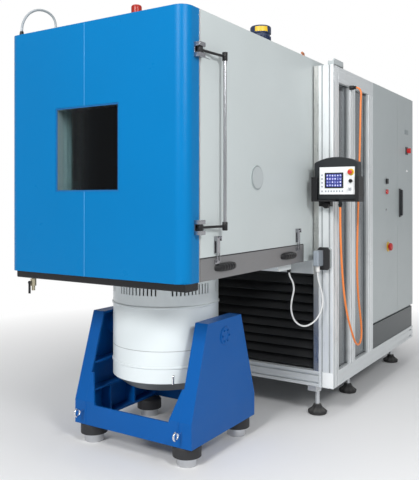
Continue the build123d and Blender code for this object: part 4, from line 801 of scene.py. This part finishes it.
# grey strips in the slots of the profiles
slotStrips = {"depth": 3.0, "thick": 2.0, "half": 4.7, "rows": (-25, 25), "profile": 50,
              "columns": (301, 2268, ((685, 1501), (-685, 1501), (-685, 3255))),
              "posts": (301, 2168, ((685, 1807), (685, 2185), (-685, 1807), (-685, 2185)))}
outer, half = slotStrips["profile"] - slotStrips["depth"], slotStrips["half"]
strips = []
for bottom, top, places in (slotStrips["columns"], slotStrips["posts"]):
    for x, y in places:
        for row in slotStrips["rows"]:
            for side in (-1, 1):
                near, away = sorted((side * outer, side * (outer - slotStrips["thick"])))
                strips.append(slab((x + near, y + row - half, bottom), (x + away, y + row + half, top), 0.4, 2))
                strips.append(slab((x + row - half, y + near, bottom), (x + row + half, y + away, top), 0.4, 2))
finishPiece(addMesh("slotStrips", *join(strips), "slotRubber"), "root")
strips = []
for z in (250, 2220):
    for side in (-1, 1):
        near, away = sorted((side * 734.7, side * 733.0))
        strips += [slab((near, 1553, z + row - half), (away, 3203, z + row + half), 0.4, 2)
                   for row in slotStrips["rows"]]
finishPiece(addMesh("beamStrips", *join(strips), "beamMetal"), "root")

# cabinet: blank label place, signal lamp and lock
label = slab((734.6, 3060, 1958), (736.4, 3168, 1998), 0.5)
finishPiece(addMesh("labelPlace", *label, "ringRubber"), "rear_leaf")
lamp = lathed([(11, 0), (11, 3), (8, 4), (7.6, 8), (5.5, 11), (0.4, 12)], (735, 3114, 1650), (1, 0, 0))
finishPiece(addMesh("signalLamp", *lamp, "pendantFront"), "rear_leaf")
lock = lathed([(11, 0), (11, 2), (9.5, 3), (4, 3.1), (3.6, 1.5), (0.4, 1.4)], (735, 2552, 1326), (1, 0, 0))
finishPiece(addMesh("cabinetLock", *lock, "latchMetal"), "front_leaf")

# levelling feet: ribbed domes over their pads, radius and height in metres
foot = {"places": [(x, y) for x in (-590, 590) for y in (1540, 2100, 3140)], "ribs": 9, "wave": 0.07,
        "plain": (0.023, 0.014),
        "profile": [(0.052, 0.0), (0.06, 0.003), (0.06, 0.016), (0.056, 0.022), (0.046, 0.03), (0.034, 0.04),
                    (0.026, 0.052), (0.0235, 0.062), (0.016, 0.065)]}


def ribbed(turn, profile):
    # ribs round the dome, none on its neck and its foot
    wave = foot["wave"] * np.cos(foot["ribs"] * turn)
    share = (profile > foot["plain"]).all(axis=1, keepdims=True)
    return 1 + wave[None] * share


dome = lathe(foot["profile"], 54, ribbed)
places = [(spot((x, y, 0)), (0, 0, 1), 1.0) for x, y in foot["places"]]
feet = finishPiece(addMesh("levelDomes", *repeat(dome, places), "footRubber"), "root")
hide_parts("foot_pads")

# stand: trunnion covers with their bolts, and the weld beads of the cheeks
trunnion = {"x": 410, "y": 661, "z": 647, "cover": 5.8, "ring": 34, "bolts": 6, "bolt": 0.0062,
            "profile": [(50, 0), (50, 3), (47, 6), (24, 6.4), (22, 4.2), (0.5, 4)]}
welds = {"x": 329, "places": (325, 1002), "heights": (116, 243), "radius": 3.2, "ripple": 0.16, "pitch": 1.9}
covers, bolts = [], []
for side in (-1, 1):
    place = (side * trunnion["x"], trunnion["y"], trunnion["z"])
    covers.append(lathed(trunnion["profile"], place, (side, 0, 0), 48))
    for turn in fullTurn(trunnion["bolts"]):
        place = (side * (trunnion["x"] + trunnion["cover"]), trunnion["y"] + trunnion["ring"] * math.cos(turn),
                 trunnion["z"] + trunnion["ring"] * math.sin(turn))
        bolts.append((spot(place), (side, 0, 0), trunnion["bolt"]))
finishPiece(addMesh("trunnionCovers", *join(covers), "standPaint"), "root")
finishPiece(addMesh("trunnionBolts", *repeat(socketScrew(), bolts), "standPaint"), "root")


def weldBead(start, end):
    # a rippled bead along a straight seam: the radius waves along the run
    start, end = np.asarray(start, float), np.asarray(end, float)
    length = np.linalg.norm(end - start)
    t = np.linspace(0, 1, max(int(length / 4), 4))
    path = start + (end - start) * t[:, None]
    wave = welds["radius"] * (1 + welds["ripple"] * np.sin(t * length / welds["pitch"])) * machine["unit"]
    return tube(spot(*path), wave, 8)[:2]


beads = [weldBead(*((side * welds["x"], y, z) for z in welds["heights"])) for side in (-1, 1)
         for y in welds["places"]]
finishPiece(addMesh("weldBeads", *join(beads), "standPaint"), "root")

# shaker: small drain pipe and the joint screws of its shell, ring and height in metres
shell = {"screws": 12, "from": 0.2, "ring": 0.311, "height": 0.968, "screw": 0.0055}
pipe = piped([(210, 446, 444), (214, 436, 444), (214, 432, 430), (214, 432, 398)], 6)
finishPiece(addMesh("shakerPipe", *pipe, "brightMetal"), "root")
screws = []
for turn in fullTurn(shell["screws"]) + shell["from"]:
    out = np.array((math.cos(turn), math.sin(turn), 0))
    screws.append((spot((0, 661, 0)) + out * shell["ring"] + (0, 0, shell["height"]), out, shell["screw"]))
finishPiece(addMesh("shellScrews", *repeat(socketScrew(), screws), "brightMetal"), "root")

# glands where the cords leave, as (cord's end, body, place, direction, sides)
glandShape = [(13, 0), (13, 7), (11.5, 8), (11.5, 16), (9, 19), (7.4, 20)]
glands = [("sockets", "root", (759, 1757, 2162), (1, 0, 0), 6),
          ("pendant", "pendant", (814, 1369, 1381), (0, 0, -1), 20),
          ("tray", "chamber", (550, 1190, 978), (0, 0, -1), 6),
          ("door", "door", (-565, 61, 2336), (0, 0, 1), 6),
          ("roof", "chamber", (-555, 305, 2336), (0, 0, 1), 6)]
for cordEnd, body, place, direction, sides in glands:
    piece = addMesh(f"gland_{cordEnd}", *lathed(glandShape, place, direction, sides), "blackPlastic")
    finishPiece(piece, body)
print("stage: small pieces")

# lights as (place, target, size, power); the world as (colour, strength) for each kind of ray
studio = {"floor": (0.86, 0.86, 0.86), "side": 26.0, "steps": 27, "fade": (1.6, 4.2),
          "world": ((0.95, 0.97, 1.0), 0.36), "seen": ((1, 1, 1), 1.0), "shine": ((0.96, 0.98, 1.0), 0.62),
          "lights": {"key": ((0.6, -7.2, 4.6), (0.0, -1.2, 1.1), 1.6, 300.0),
                     "fill": ((3.6, -3.0, 3.2), (0.5, -0.6, 1.2), 1.0, 90.0),
                     "top": ((0.3, -0.5, 6.5), (0.0, 0.0, 1.0), 4.0, 70.0)}}


def seenRays(tree):
    path = addNode(tree, "LightPath").outputs
    seen = calc(tree, "ADD", path["Is Camera Ray"], path["Is Glossy Ray"])
    return calc(tree, "ADD", seen, path["Is Transmission Ray"], clamp=True)


def makeStage():
    # a floor that fades into the white of the world away from the machine
    line = np.linspace(-studio["side"], studio["side"], studio["steps"])
    x, y = np.meshgrid(line, line, indexing="ij")
    points = np.stack([x, y, np.zeros_like(x)], -1)
    material, tree, shader, vector = newMaterial("floorFinish")
    setShader(tree, shader, {"Base Color": solid(studio["floor"]), "Roughness": 0.7,
                             "Specular IOR Level": 0.1})
    away = spread(tree, vectorCalc(tree, "LENGTH", vector), 0.0, 1.0, *studio["fade"])
    glow = addNode(tree, "Emission", {"Strength": 1.0})
    mixed = mixShader(tree, calc(tree, "MULTIPLY", away, seenRays(tree)), shader, glow)
    feed(tree, tree.nodes["Material Output"].inputs["Surface"], mixed.outputs[0])
    materials["floorFinish"] = material
    faces = gridFaces(studio["steps"], studio["steps"])[:, ::-1]
    floor = addMesh("studioFloor", points, faces, "floorFinish")


def makeLight(name, place, target, size, power):
    lamp = bpy.data.lights.new(name, "AREA")
    lamp.shape, lamp.size, lamp.energy = "DISK", size, power
    holder = bpy.data.objects.new(name, lamp)
    scene.collection.objects.link(holder)
    holder.location = place
    toward = np.asarray(target, float) - np.asarray(place, float)
    holder.rotation_euler = (math.atan2(math.hypot(toward[0], toward[1]), -toward[2]), 0,
                             math.atan2(toward[1], toward[0]) - math.pi / 2)


def makeWorld():
    # white where it is seen, dimmer where it lights the machine and where it shines in it
    world = bpy.data.worlds.new("studio")
    scene.world = world
    world.use_nodes = True
    tree = world.node_tree

    def sky(kind):
        colour, strength = studio[kind]
        return addNode(tree, "Background", {0: solid(colour), 1: strength})
    glossy = addNode(tree, "LightPath").outputs["Is Glossy Ray"]
    mixed = mixShader(tree, seenRays(tree), sky("world"), sky("seen"))
    mixed = mixShader(tree, glossy, mixed, sky("shine"))
    feed(tree, tree.nodes["World Output"].inputs["Surface"], mixed.outputs[0])


makeStage()
makeWorld()
for name, light in studio["lights"].items():
    makeLight(name, *light)

viewpoint = {"place": (2.1736, -4.0913, 1.4147), "yaw": 32.5, "lens": 48.47, "shift": -0.0865}
lens = bpy.data.cameras.new("camera")
lens.lens, lens.sensor_width, lens.shift_y = viewpoint["lens"], 36.0, viewpoint["shift"]
camera = bpy.data.objects.new("camera", lens)
scene.collection.objects.link(camera)
camera.location = viewpoint["place"]
camera.rotation_euler = (math.radians(90), 0, math.radians(viewpoint["yaw"]))
scene.camera = camera
scene.view_settings.view_transform = "Standard"
print("stage: studio and camera")
